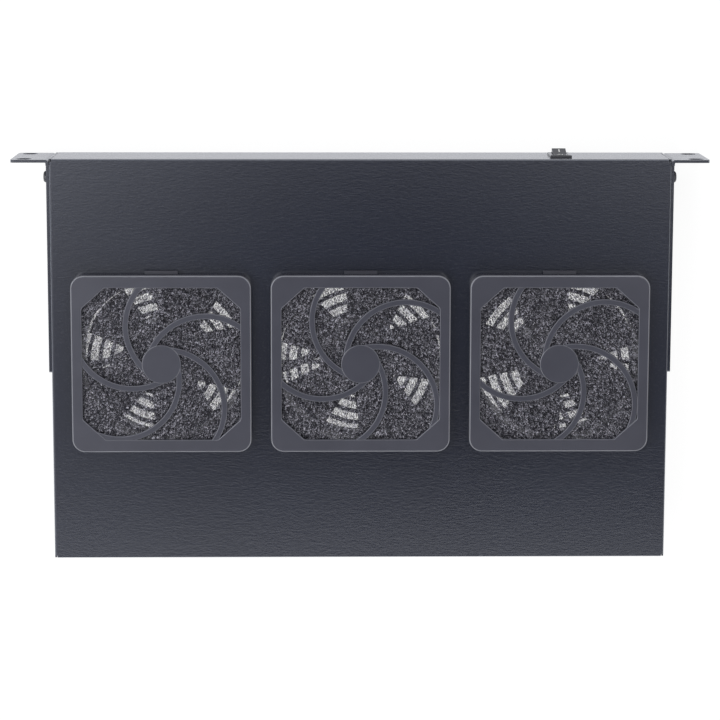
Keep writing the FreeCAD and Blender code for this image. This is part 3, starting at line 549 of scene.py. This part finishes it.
def loft(bm, rings, closed=True):
    """Join rings of points with quads; closed also joins the last ring to the first."""
    rows = [[bm.verts.new(p) for p in ring] for ring in rings]
    count = len(rows[0])
    pairs = list(zip(rows, rows[1:])) + ([(rows[-1], rows[0])] if closed else [])
    for low, high in pairs:
        for i in range(count):
            j = (i + 1) % count
            bm.faces.new((low[i], low[j], high[j], high[i]))
    return rows


def upright_ring(angles, reach, height):
    """A closed ring of points; reach is a number or a function of the angle."""
    size = reach if callable(reach) else lambda a: reach
    return [Vector((math.cos(a) * size(a), math.sin(a) * size(a), height)) for a in angles]


def quarter(steps):
    """Angles from 0 to 90 degrees in equal steps, for a rounded edge."""
    return [math.radians(90 * i / steps) for i in range(steps + 1)]


print("a square of 110 mm with 16 mm cut corners reaches",
      round(cut_corner_reach(math.radians(45), 55, 55, 16, 16), 2), "mm at 45 degrees")


# %% Finish a mesh and hand it over
def finish_mesh(bm, name, materials, sharp_deg=32.0):
    """Turn the working mesh into an object with clean normals and sharp creases."""
    bmesh.ops.remove_doubles(bm, verts=bm.verts, dist=1e-7)
    bmesh.ops.recalc_face_normals(bm, faces=bm.faces)
    limit = math.radians(sharp_deg)
    for face in bm.faces:
        face.smooth = True
    for edge in bm.edges:
        if len(edge.link_faces) == 2:
            edge.smooth = edge.calc_face_angle(0.0) < limit
    mesh = bpy.data.meshes.new(name)
    bm.to_mesh(mesh)
    bm.free()
    for material in materials:
        mesh.materials.append(material)
    piece = bpy.data.objects.new(name, mesh)
    bpy.context.scene.collection.objects.link(piece)
    return piece


def hand_over(piece, body, node):
    """Tie a piece to its body and hide the part it stands for."""
    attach(piece, body)
    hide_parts(node)
    return piece


print("hand-over helpers ready")

# %% [markdown]
# The frame's section, from the foot of the skirt: up the outside, over a small round shoulder,
# across the flat, down into the window over a small radius, back under the frame and down the
# inside of the skirt. Where a flat begins, one more line lies close to the edge, so the shading
# of the round edge doesn't run out over the flat. On the side towards the front panel the skirt
# is cut away over the base's latch.

# %% The frame of a cover
COVER_CORNER = 9.0 * MM
SHOULDER = 0.8 * MM
SKIRT = 1.4 * MM
COVER_SHEET = 2.0 * MM
WINDOW_HALF = (54.75 * MM, 53.5 * MM)
WINDOW_CUT = (16.0 * MM, 14.5 * MM)
WINDOW_EDGE = 0.45 * MM
FLAT_START = 0.15 * MM
LATCH_HALF = 12.0 * MM
LATCH_HIGH = 3.6 * MM
FRAME_SPOKES = 288
LATCH_STEP = 0.0004
FRONT_SIDE = 0.9


def frame_angles(half):
    """Even angles all round, with pairs close together at the latch opening's sides."""
    angles = [math.tau * i / FRAME_SPOKES for i in range(FRAME_SPOKES)]
    for x in (-LATCH_HALF, LATCH_HALF):
        base = math.atan2(-half, x)
        angles += [base - LATCH_STEP, base + LATCH_STEP]
    return sorted(a % math.tau for a in angles)


def cover_frame(bm, centre, low, high):
    """Loft the skirt, shoulder, flat and window edge of one cover."""
    half = (high.x - low.x) / 2
    top, foot, under = high.z, low.z, high.z - COVER_SHEET
    angles = frame_angles(half)

    def outer(inset, z):
        side, radius = half - inset, COVER_CORNER - inset
        ring = upright_ring(angles, lambda a: rounded_reach(a, side, side, radius), z)
        return [centre + p for p in ring]

    def foot_ring(inset):
        ring = outer(inset, foot)
        for p in ring:
            if p.y < centre.y - half * FRONT_SIDE and abs(p.x - centre.x) < LATCH_HALF:
                p.z = foot + LATCH_HIGH
        return ring

    def window(grow, z):
        sides = [h + grow for h in WINDOW_HALF]
        ring = upright_ring(angles, lambda a: cut_corner_reach(a, *sides, *WINDOW_CUT), z)
        return [centre + p for p in ring]

    rings = [foot_ring(SKIRT), foot_ring(0.0)]
    for turn in quarter(5):
        rings.append(outer(SHOULDER * (1 - math.cos(turn)), top - SHOULDER * (1 - math.sin(turn))))
    rings += [outer(SHOULDER + FLAT_START, top), window(WINDOW_EDGE + FLAT_START, top)]
    for turn in quarter(3):
        rings.append(window(WINDOW_EDGE * (1 - math.sin(turn)),
                            top - WINDOW_EDGE * (1 - math.cos(turn))))
    rings += [window(0.0, under), outer(SKIRT, under)]
    loft(bm, rings)


print("frame section: skirt", SKIRT * 1000, "mm, shoulder", SHOULDER * 1000, "mm")

# %% [markdown]
# The arms are parts of one circle, turned five times round the hub like the shutter of a lens. A
# strip with rounded upper edges is swept along the arc and runs a little way into the frame, as
# moulded ribs do. The hub is turned like a coin with a softened rim and a plain middle.

# %% The arms and hub of a cover
ARM_HALF = 2.05 * MM
ARM_EDGE = 0.5 * MM
ARM_CIRCLE = 41.5 * MM
ARM_CENTRE = 31.4 * MM
ARM_TURN = math.radians(111.7)
ARM_DROP = 0.4 * MM
ARM_POINTS = 64
ARM_INTO_FRAME = 2.4 * MM
HUB_HALF = 13.6 * MM
HUB_DROP = 0.2 * MM
HUB_EDGE = 0.5 * MM


def arm_section(top, under):
    """Half-width and height of an arm's section, round the rounded top."""
    section = [(-ARM_HALF + 0.1 * MM, under), (-ARM_HALF, under + 0.2 * MM)]
    for turn in quarter(3):
        section.append((-ARM_HALF + ARM_EDGE * (1 - math.cos(turn)),
                        top - ARM_EDGE * (1 - math.sin(turn))))
    section.append((-ARM_HALF + ARM_EDGE + FLAT_START, top))
    return section + [(-x, z) for x, z in reversed(section)]


def cover_arm(bm, centre, turn, top, under):
    """Sweep one arm from inside the hub out into the frame."""
    circle_at = Vector((math.cos(turn), math.sin(turn), 0)) * ARM_CENTRE
    sides = [h + ARM_INTO_FRAME for h in WINDOW_HALF]
    rings = []
    for step in range(ARM_POINTS):
        angle = turn + math.pi - math.radians(180.0 * step / (ARM_POINTS - 1))
        out = Vector((math.cos(angle), math.sin(angle), 0))
        spine = circle_at + out * ARM_CIRCLE
        if spine.length > cut_corner_reach(math.atan2(spine.y, spine.x), *sides, *WINDOW_CUT):
            break
        rings.append([centre + spine + out * w + Vector((0, 0, z))
                      for w, z in arm_section(top, under)])
    rows = loft(bm, rings, closed=False)
    bm.faces.new(rows[0])
    bm.faces.new(list(reversed(rows[-1])))


def revolve(bm, profile, centre, count=72):
    """Turn a profile of (radius, height) about an upright axis, with closed ends."""
    angles = [math.tau * i / count for i in range(count)]
    rings = [[centre + p for p in upright_ring(angles, r, z)] for r, z in profile]
    rows = loft(bm, rings, closed=False)
    bm.faces.new(list(reversed(rows[0])))
    bm.faces.new(rows[-1])


def cover_hub(bm, centre, top, under):
    """The plain hub where the arms meet."""
    rim, flat = HUB_HALF - HUB_EDGE, HUB_HALF - HUB_EDGE - FLAT_START
    profile = [(HUB_HALF - 0.2 * MM, under), (HUB_HALF, under + 0.2 * MM),
               (HUB_HALF, top - HUB_EDGE), (HUB_HALF - HUB_EDGE * 0.3, top - HUB_EDGE * 0.3),
               (rim, top), (flat, top), (2.0 * MM, top)]
    revolve(bm, profile, centre)


print("hub", 2 * HUB_HALF * 1000, "mm across, arms", 2 * ARM_HALF * 1000, "mm wide")


# %% Build the three covers
EDGE_ZONE = 1.6 * MM
RIM_ZONE = 4.0 * MM
COVER_FINISHES = [GUARD_PLASTIC, GUARD_EDGE_HIGHLIGHT, GUARD_RIM_HIGHLIGHT]


def highlight_band_of(face, hub_at, half, top):
    """Number of a face's finish: flats 0, painted highlight on the upper edges 1, brighter painted
    highlight on the outer rim 2.
    """
    place = face.calc_center_median()
    if place.z <= top - EDGE_ZONE or not 0.1 < abs(face.normal.z) < 0.995:
        return 0
    from_hub = max(abs(place.x - hub_at.x), abs(place.y - hub_at.y))
    return 2 if from_hub > half - RIM_ZONE and place.z > top - SHOULDER else 1


COVER_TURN = {"right": math.radians(-90.0), "centre": 0.0, "left": 0.0}
for name, turned in COVER_TURN.items():
    low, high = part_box("filter_cover_" + name)
    hub_at = Vector(((low.x + high.x) / 2, (low.y + high.y) / 2, 0))
    under = high.z - COVER_SHEET
    body_mesh = bmesh.new()
    cover_frame(body_mesh, hub_at, low, high)
    for arm in range(5):
        cover_arm(body_mesh, hub_at, ARM_TURN + turned + math.tau * arm / 5,
                  high.z - ARM_DROP, under)
    cover_hub(body_mesh, hub_at, high.z - HUB_DROP, under)
    body_mesh.normal_update()
    for face in body_mesh.faces:
        face.material_index = highlight_band_of(face, hub_at, (high.x - low.x) / 2, high.z)
    cover = finish_mesh(body_mesh, "guard_cover_" + name, COVER_FINISHES)
    hand_over(cover, "cover_" + name, "filter_cover_" + name)
    print(cover.name, len(cover.data.polygons), "faces, hub at", round(hub_at.x * 1000, 1))

# %% [markdown]
# ## Foam pads
#
# Filter foam is a web of thin strands with more air than plastic in it: light gets through, and
# the grille under it can be made out. Modelling each strand would take millions of faces. A pad
# is therefore drawn as a stack of four thin wavy sheets in one closed rim, and the finish opens
# a pore in each cell of a cell pattern. The pattern changes slowly with depth, so pores run down
# through the pad and light from below finds its way up. The top sheet has bright uneven strands,
# and the ones below it have darker and thinner strands, as little light reaches them.

# %% Reticulated foam finish
FOAM_CELL = 1.25 * MM
FOAM_DRIFT_WITH_DEPTH = 0.04
# The pale tone is painted glints on the strands.
FOAM_TONES = ((0.035, 0.034, 0.044), (0.64, 0.63, 0.72))


def reticulated_foam(name, light, strand_half):
    """Strands with painted glints round open pores that run down through the pad; a light below 1
    darkens them as painted shade.
    """
    finish, tree, shader = start_finish(name, Roughness=0.8, Specular_IOR_Level=0.2)
    out = tree.nodes["Material Output"]
    place = add_node(tree, "ShaderNodeTexCoord")
    tall = add_node(tree, "ShaderNodeMapping", Vector=place.outputs["Object"],
                    Scale=(1 / FOAM_CELL, 1 / FOAM_CELL, FOAM_DRIFT_WITH_DEPTH / FOAM_CELL))
    bend = add_node(tree, "ShaderNodeTexNoise", Vector=tall.outputs[0], Scale=1.3, Detail=1.0)
    shake = add_node(tree, "ShaderNodeVectorMath", {"operation": "SCALE"},
                     i0=bend.outputs["Color"], Scale=0.8)
    moved = add_node(tree, "ShaderNodeVectorMath", {"operation": "ADD"},
                     i0=tall.outputs[0], i1=shake.outputs[0])
    cells = add_node(tree, "ShaderNodeTexVoronoi", {"feature": "DISTANCE_TO_EDGE"},
                     Vector=moved.outputs[0], Scale=1.0)
    strand = add_node(tree, "ShaderNodeMapRange", Value=cells.outputs["Distance"],
                      From_Min=strand_half - 0.02, From_Max=strand_half, To_Min=1.0, To_Max=0.0)
    knots = add_node(tree, "ShaderNodeTexVoronoi", {"feature": "F1"}, Vector=moved.outputs[0],
                     Scale=1.4)
    chance = add_node(tree, "ShaderNodeSeparateColor", Color=knots.outputs["Color"])
    # Painted glints: a random few cells of strand turn pale.
    glint = compute(tree, "POWER", chance.outputs[0], 2.2)
    drift = spread(tree, grain(tree, 0.018, detail=3.0), 0.75, 1.15)
    dark, pale = (tuple(light * v for v in tone) for tone in FOAM_TONES)
    wire(tree, tones(tree, compute(tree, "MULTIPLY", glint, drift), dark, pale), shader,
         "Base Color")
    wire(tree, relief(tree, cells.outputs["Distance"], 0.0004), shader, "Normal")
    clear = add_node(tree, "ShaderNodeBsdfTransparent")
    mix = add_node(tree, "ShaderNodeMixShader", i0=strand.outputs[0], i1=clear.outputs[0],
                   i2=shader.outputs[0])
    tree.links.new(mix.outputs[0], out.inputs["Surface"])
    return finish


# The deeper sheets' copy is darker: painted shade.
FOAM_FINISHES = [reticulated_foam("foam_lit_strands", 1.0, 0.085),
                 reticulated_foam("foam_deep_strands", 0.35, 0.05)]
print("foam finishes ready, cells", FOAM_CELL * 1000, "mm wide")

# %% The pads
FOAM_STEPS = 40
FOAM_LAYERS = 4
FOAM_WAVE = 0.12 * MM
FOAM_SKIN = 0.2 * MM


def foam_height(x, y, level, low, high):
    """Height of one sheet: slightly crowned, pressed at the rim, with a slow waviness."""
    rim = min(1.0, 6.0 * (1 - max(abs(x), abs(y))))
    wave = FOAM_WAVE * math.sin(7.1 * x + 2.3 * level) * math.cos(6.3 * y - 1.7 * level)
    share = level / (FOAM_LAYERS - 1)
    flat = low.z + FOAM_SKIN + (high.z - low.z - 2 * FOAM_SKIN) * share
    return flat + rim * wave + 0.15 * MM * (share - 0.5) * rim


def foam_point(i, j, half, corner):
    """A grid point pulled inside the pad's eight-sided outline."""
    x, y = 2 * i / FOAM_STEPS - 1, 2 * j / FOAM_STEPS - 1
    reach = max(abs(x), abs(y))
    if reach < 1e-9:
        return 0.0, 0.0, 0.0, 0.0
    angle = math.atan2(y * half[1], x * half[0])
    edge = cut_corner_reach(angle, *half, *corner) * reach
    return math.cos(angle) * edge, math.sin(angle) * edge, x, y


for name in FANS:
    low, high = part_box("filter_foam_" + name)
    centre = (low + high) / 2
    half = ((high.x - low.x) / 2, (high.y - low.y) / 2)
    pad = bmesh.new()
    rims = []
    for level in range(FOAM_LAYERS):
        grid = {}
        for i in range(FOAM_STEPS + 1):
            for j in range(FOAM_STEPS + 1):
                px, py, x, y = foam_point(i, j, half, WINDOW_CUT)
                z = foam_height(x, y, level, low, high)
                grid[i, j] = pad.verts.new((centre.x + px, centre.y + py, z))
        for i in range(FOAM_STEPS):
            for j in range(FOAM_STEPS):
                patch = pad.faces.new((grid[i, j], grid[i + 1, j], grid[i + 1, j + 1],
                                       grid[i, j + 1]))
                patch.material_index = 0 if level == FOAM_LAYERS - 1 else 1
        last = FOAM_STEPS
        rims.append([grid[i, 0] for i in range(last)] + [grid[last, j] for j in range(last)]
                    + [grid[last - i, last] for i in range(last)]
                    + [grid[0, last - j] for j in range(last)])
    for lower, upper in zip(rims, rims[1:]):
        for i in range(len(lower)):
            j = (i + 1) % len(lower)
            pad.faces.new((lower[i], lower[j], upper[j], upper[i]))
    foam = finish_mesh(pad, "foam_pad_" + name, FOAM_FINISHES, 80.0)
    hand_over(foam, "cover_" + name, "filter_foam_" + name)
    print(foam.name, len(foam.data.polygons), "faces")

# %% [markdown]
# ## Fasteners
#
# Screws and nuts are bought parts, so one careful model of each kind is placed many times. A
# cross recess could be cut with a boolean. Here the head is lofted like the covers: circles come
# in over the dome and the last ones change into a plus shape that goes down into the metal. The
# shank's thread is one spiral wave, made by moving each point out or in by its turn and height.

# %% Outlines for recesses and nuts
def plus_reach(angle, arm, half):
    """Distance from the centre to a plus shape's edge."""
    dx, dy = abs(math.cos(angle)), abs(math.sin(angle))
    if dx < dy:
        dx, dy = dy, dx
    return min(arm / dx, half / dy if dy > 1e-9 else 1e9)


def hex_reach(angle, flats):
    """Distance from the centre to a hexagon's edge, with a corner at angle 0."""
    turn = angle % (math.pi / 3) - math.pi / 6
    return flats / 2 / math.cos(turn)


print("an M4 nut reaches", round(hex_reach(0.0, 7.0), 2), "mm at its corners")

# %% Screws
PITCH = 0.7 * MM
THREAD_DEPTH = 0.22 * MM
THREAD_SIDES = 16
TIP_LENGTH = 0.6 * MM
TIP_SLOPE = 0.75
RECESS_DEPTH = 0.75
RECESS_ARM = 0.21
# How far the plus shape reaches on the way down, and how deep that line lies.
RECESS_STEPS = ((1.0, 0.0), (0.95, 0.12), (0.72, 0.85), (0.2, 1.0))
SCREW_ANGLES = sorted([math.tau * i / 32 for i in range(32)]
                      + [math.tau * q / 4 + s * 0.20 for q in range(4) for s in (-1, 1)])


def thread(bm, radius, top, length):
    """A shank whose surface waves in and out along a spiral, with a tapered tip."""
    rings = []
    steps = max(4, int(length / PITCH * 4))
    for j in range(steps + 1):
        depth = length * j / steps
        ring = []
        for i in range(THREAD_SIDES):
            angle = math.tau * i / THREAD_SIDES
            phase = (depth / PITCH + i / THREAD_SIDES) % 1.0
            wave = abs(2 * phase - 1)
            r = radius - THREAD_DEPTH * wave
            if length - depth < TIP_LENGTH:
                r = min(r, radius - (TIP_LENGTH - length + depth) * TIP_SLOPE)
            ring.append(Vector((math.cos(angle) * r, math.sin(angle) * r, top - depth)))
        rings.append(ring)
    rows = loft(bm, rings, closed=False)
    bm.faces.new(rows[0])
    bm.faces.new(list(reversed(rows[-1])))


def head_rings(profile, recess):
    """Circles over a head's profile, then the plus-shaped recess going down."""
    top = profile[-1][1]
    rings = [upright_ring(SCREW_ANGLES, r, z) for r, z in profile]
    depth, half = recess * RECESS_DEPTH, recess * RECESS_ARM
    for share, level in RECESS_STEPS:
        rings.append(upright_ring(SCREW_ANGLES,
                                  lambda a, k=share: plus_reach(a, recess * k, half * k),
                                  top - depth * level))
    return rings


def pan_profile(radius, height):
    """Foot, short upright side and dome of a pan head."""
    side = 0.42 * height
    points = [(radius - 0.1 * MM, 0.0), (radius, 0.1 * MM), (radius, side)]
    for i in range(1, 6):
        turn = math.radians(90 * i / 5.5)
        points.append((radius - 0.45 * radius * (1 - math.cos(turn)),
                       side + (height - side) * math.sin(turn)))
    return points + [(0.56 * radius, height)]


def sunk_profile(radius, depth):
    """Cone of a countersunk head, with its top face at zero."""
    return [(radius - depth, -depth), (radius - 0.15 * MM, -0.15 * MM), (radius, 0.0),
            (0.62 * radius, 0.0)]


def screw_mesh(name, profile, recess, shank, length, finish):
    """One screw: head, recess and threaded shank."""
    bm = bmesh.new()
    rows = loft(bm, head_rings(profile, recess), closed=False)
    bm.faces.new(list(reversed(rows[0])))
    bm.faces.new(rows[-1])
    thread(bm, shank, profile[0][1], length)
    piece = finish_mesh(bm, name, [FINISHES[finish]], 38.0)
    print(name, len(piece.data.polygons), "faces")
    return piece


print("threads rise", PITCH * 1000, "mm a turn")

# %% [markdown]
# ### Where each one goes
#
# One part of the model can hold a dozen screws. Their places could be typed in as a list, but a
# list goes wrong as soon as the model changes. Here the corners that edges join are gathered into
# groups, one for each screw or nut, and the box round a group tells where its copy sits.

# %% Find the seats and place the copies
def loose_ends(node):
    """Boxes of the separate solids in one CAD part, found from its joined faces."""
    bm = bmesh.new()
    bm.from_mesh(nodes[node].data)
    bmesh.ops.remove_doubles(bm, verts=bm.verts, dist=1e-6)
    seen, found = set(), []
    for start in bm.verts:
        if start in seen:
            continue
        stack, group = [start], []
        seen.add(start)
        while stack:
            vert = stack.pop()
            group.append(vert.co.copy())
            for edge in vert.link_edges:
                other = edge.other_vert(vert)
                if other not in seen:
                    seen.add(other)
                    stack.append(other)
        low = Vector([min(p[k] for p in group) for k in range(3)])
        high = Vector([max(p[k] for p in group) for k in range(3)])
        found.append((low, high))
    bm.free()
    return found


def place_copies(pattern, node, body, seat):
    """Put a copy of a pattern on each solid of a CAD part; seat gives its matrix."""
    for number, (low, high) in enumerate(loose_ends(node)):
        copy = bpy.data.objects.new("%s_%d" % (pattern.name, number), pattern.data)
        bpy.context.scene.collection.objects.link(copy)
        copy.matrix_world = seat(low, high)
        hand_over(copy, body, node)
    bpy.data.objects.remove(pattern)
    return number + 1


def facing(direction, at):
    """A matrix that turns +Z towards a direction, at a point."""
    turn = Vector(direction).to_track_quat("Z", "Y")
    return Matrix.Translation(at) @ turn.to_matrix().to_4x4()


def middle(low, high):
    """Centre of a box."""
    return (low + high) / 2


print("fastener helpers ready")

# %% Place the screws
M4_SHANK = 2.0 * MM
M4_HEAD = 4.0 * MM
BRACKET_HEAD = 2.6 * MM
FAN_HEAD = 2.4 * MM
INLET_HEAD = 1.7 * MM


def seat_outward(head):
    """Seat for screws along X whose heads are head metres high, on either side wall."""
    def seat(low, high):
        side = 1 if low.x > 0 else -1
        at = middle(low, high)
        at.x = (high.x if side > 0 else low.x) - side * head
        return facing((side, 0, 0), at)
    return seat


def seat_on_top(low, high):
    """Seat for the upright fan screws."""
    at = middle(low, high)
    return Matrix.Translation((at.x, at.y, high.z - FAN_HEAD))


def seat_behind(low, high):
    """Seat for the inlet's screws, whose heads face backwards."""
    at = middle(low, high)
    return facing((0, 1, 0), (at.x, high.y - INLET_HEAD, at.z))


pan = screw_mesh("bracket_pan_screw", pan_profile(M4_HEAD, BRACKET_HEAD), 2.0 * MM, M4_SHANK,
                 7.6 * MM, "black_screw")
count = place_copies(pan, "bracket_front_screws", "chassis",
                     seat_outward(BRACKET_HEAD))
flush = screw_mesh("bracket_flush_screw", sunk_profile(M4_HEAD, 1.9 * MM), 2.1 * MM, M4_SHANK,
                   5.7 * MM, "black_screw")
count += place_copies(flush, "bracket_rear_screws", "chassis", seat_outward(0.0))
fan_screw = screw_mesh("fan_pan_screw", pan_profile(M4_HEAD, FAN_HEAD), 2.0 * MM, M4_SHANK,
                       12.2 * MM, "black_screw")
count += place_copies(fan_screw, "fan_screws", "chassis", seat_on_top)
inlet_screw = screw_mesh("inlet_pan_screw", pan_profile(2.8 * MM, INLET_HEAD), 1.4 * MM, 1.5 * MM,
                         6.6 * MM, "zinc_steel")
count += place_copies(inlet_screw, "inlet_screws", "chassis", seat_behind)
print(count, "screws placed")

# %% Nuts
def nut_mesh(name, flats, height, bore):
    """A hexagon nut with chamfered corners and a countersunk bore."""
    angles = [math.tau * i / 48 for i in range(48)]
    face = flats / 2 * 0.98
    sink = 0.35 * MM

    def chamfered(a, from_top):
        drop = (hex_reach(a, flats) - face) * 0.6
        return height - drop if from_top else drop

    bm = bmesh.new()
    rings = [upright_ring(angles, bore, sink), upright_ring(angles, bore + sink, 0.0),
             upright_ring(angles, face, 0.0)]
    for from_top in (False, True):
        rings.append([Vector((math.cos(a) * hex_reach(a, flats), math.sin(a) * hex_reach(a, flats),
                              chamfered(a, from_top))) for a in angles])
    rings += [upright_ring(angles, face, height), upright_ring(angles, bore + sink, height),
              upright_ring(angles, bore, height - sink)]
    loft(bm, rings)
    piece = finish_mesh(bm, name, [FINISHES["zinc_steel"]], 25.0)
    print(name, len(piece.data.polygons), "faces")
    return piece


def seat_inward(low, high):
    """Seat for nuts inside the side walls."""
    side, at = 1 if low.x > 0 else -1, middle(low, high)
    return facing((-side, 0, 0), (high.x if side > 0 else low.x, at.y, at.z))


def seat_under(low, high):
    """Seat for upright nuts."""
    at = middle(low, high)
    return Matrix.Translation((at.x, at.y, low.z))


def seat_inside_rear(low, high):
    """Seat for the inlet's nuts."""
    at = middle(low, high)
    return facing((0, -1, 0), (at.x, high.y, at.z))


M4_NUT = (7.0 * MM, 3.2 * MM, M4_SHANK + 0.05 * MM)
M3_NUT = (5.5 * MM, 2.4 * MM, 1.55 * MM)
NUTS = [
    ("bracket_nut", M4_NUT, "bracket_nuts", seat_inward),
    ("fan_nut", M4_NUT, "fan_nuts", seat_under),
    ("inlet_nut", M3_NUT, "inlet_nuts", seat_inside_rear),
    ("earth_hex_nut", M4_NUT, "earth_nut", seat_under),
]
count = sum(place_copies(nut_mesh(name, *sizes), part, "chassis", seat)
            for name, sizes, part, seat in NUTS)
print(count, "nuts placed")

# %% [markdown]
# ## Marks on the rocker
#
# A mains rocker carries the two plain signs for on and off, a bar and a ring, pad-printed in
# white. A printed sign could be a mask in the plastic's finish, but that would need the sign's
# place in the node tree. A film a few hundredths of a millimetre thick is simpler: two small
# meshes lie on the faces of the paddle and ride with it.

# %% The bar and the ring
ROCKER_TILT = math.radians(12.0)
FILM = 0.03 * MM
FILM_LIFT = 0.005 * MM


def film(name, outer, inner, place):
    """A flat printed shape: one closed outline, or a band between two."""
    bm = bmesh.new()
    rings = [[Vector((x, y, 0.0)) for x, y in outer], [Vector((x, y, FILM)) for x, y in outer]]
    if inner:
        rings += [[Vector((x, y, FILM)) for x, y in inner], [Vector((x, y, 0.0)) for x, y in inner]]
        loft(bm, rings)
    else:
        rows = loft(bm, rings, closed=False)
        bm.faces.new(list(reversed(rows[0])))
        bm.faces.new(rows[-1])
    piece = finish_mesh(bm, name, [FINISHES["mark_paint"]])
    piece.matrix_world = place
    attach(piece, "rocker")
    print(name, "printed on the rocker")
    return piece


def on_half(side):
    """Place for a sign on the half of the paddle above (1) or below (-1) its crest."""
    away = 0.0 if side > 0 else 2 * ROCKER_TILT
    outward = Vector((0.0, -math.cos(away), math.sin(away)))
    upward = Vector((0.0, math.sin(away), math.cos(away)))
    crest = PIVOT + Vector((0.0, -CREST * math.cos(ROCKER_TILT), CREST * math.sin(ROCKER_TILT)))
    at = crest + upward * side * SIGN_FROM_CREST + outward * FILM_LIFT
    columns = Matrix((Vector((1.0, 0.0, 0.0)), upward, outward)).transposed().to_4x4()
    return Matrix.Translation(at) @ columns


PIVOT = Vector(next(j["pos_m"] for j in frame["joints"] if j["name"] == "switch_rock"))
CREST = 2.4 * MM
SIGN_FROM_CREST = 4.4 * MM
SIGN_HALF = 1.9 * MM
BAR_HALF = 0.45 * MM
RING_INSIDE = 1.3 * MM
bar = [(-BAR_HALF, -SIGN_HALF), (BAR_HALF, -SIGN_HALF), (BAR_HALF, SIGN_HALF),
       (-BAR_HALF, SIGN_HALF)]
circle = [(math.cos(math.tau * i / 40), math.sin(math.tau * i / 40)) for i in range(40)]
film("on_sign", bar, None, on_half(-1))
film("off_sign", *([(x * r, y * r) for x, y in circle] for r in (SIGN_HALF, RING_INSIDE)),
     on_half(1))
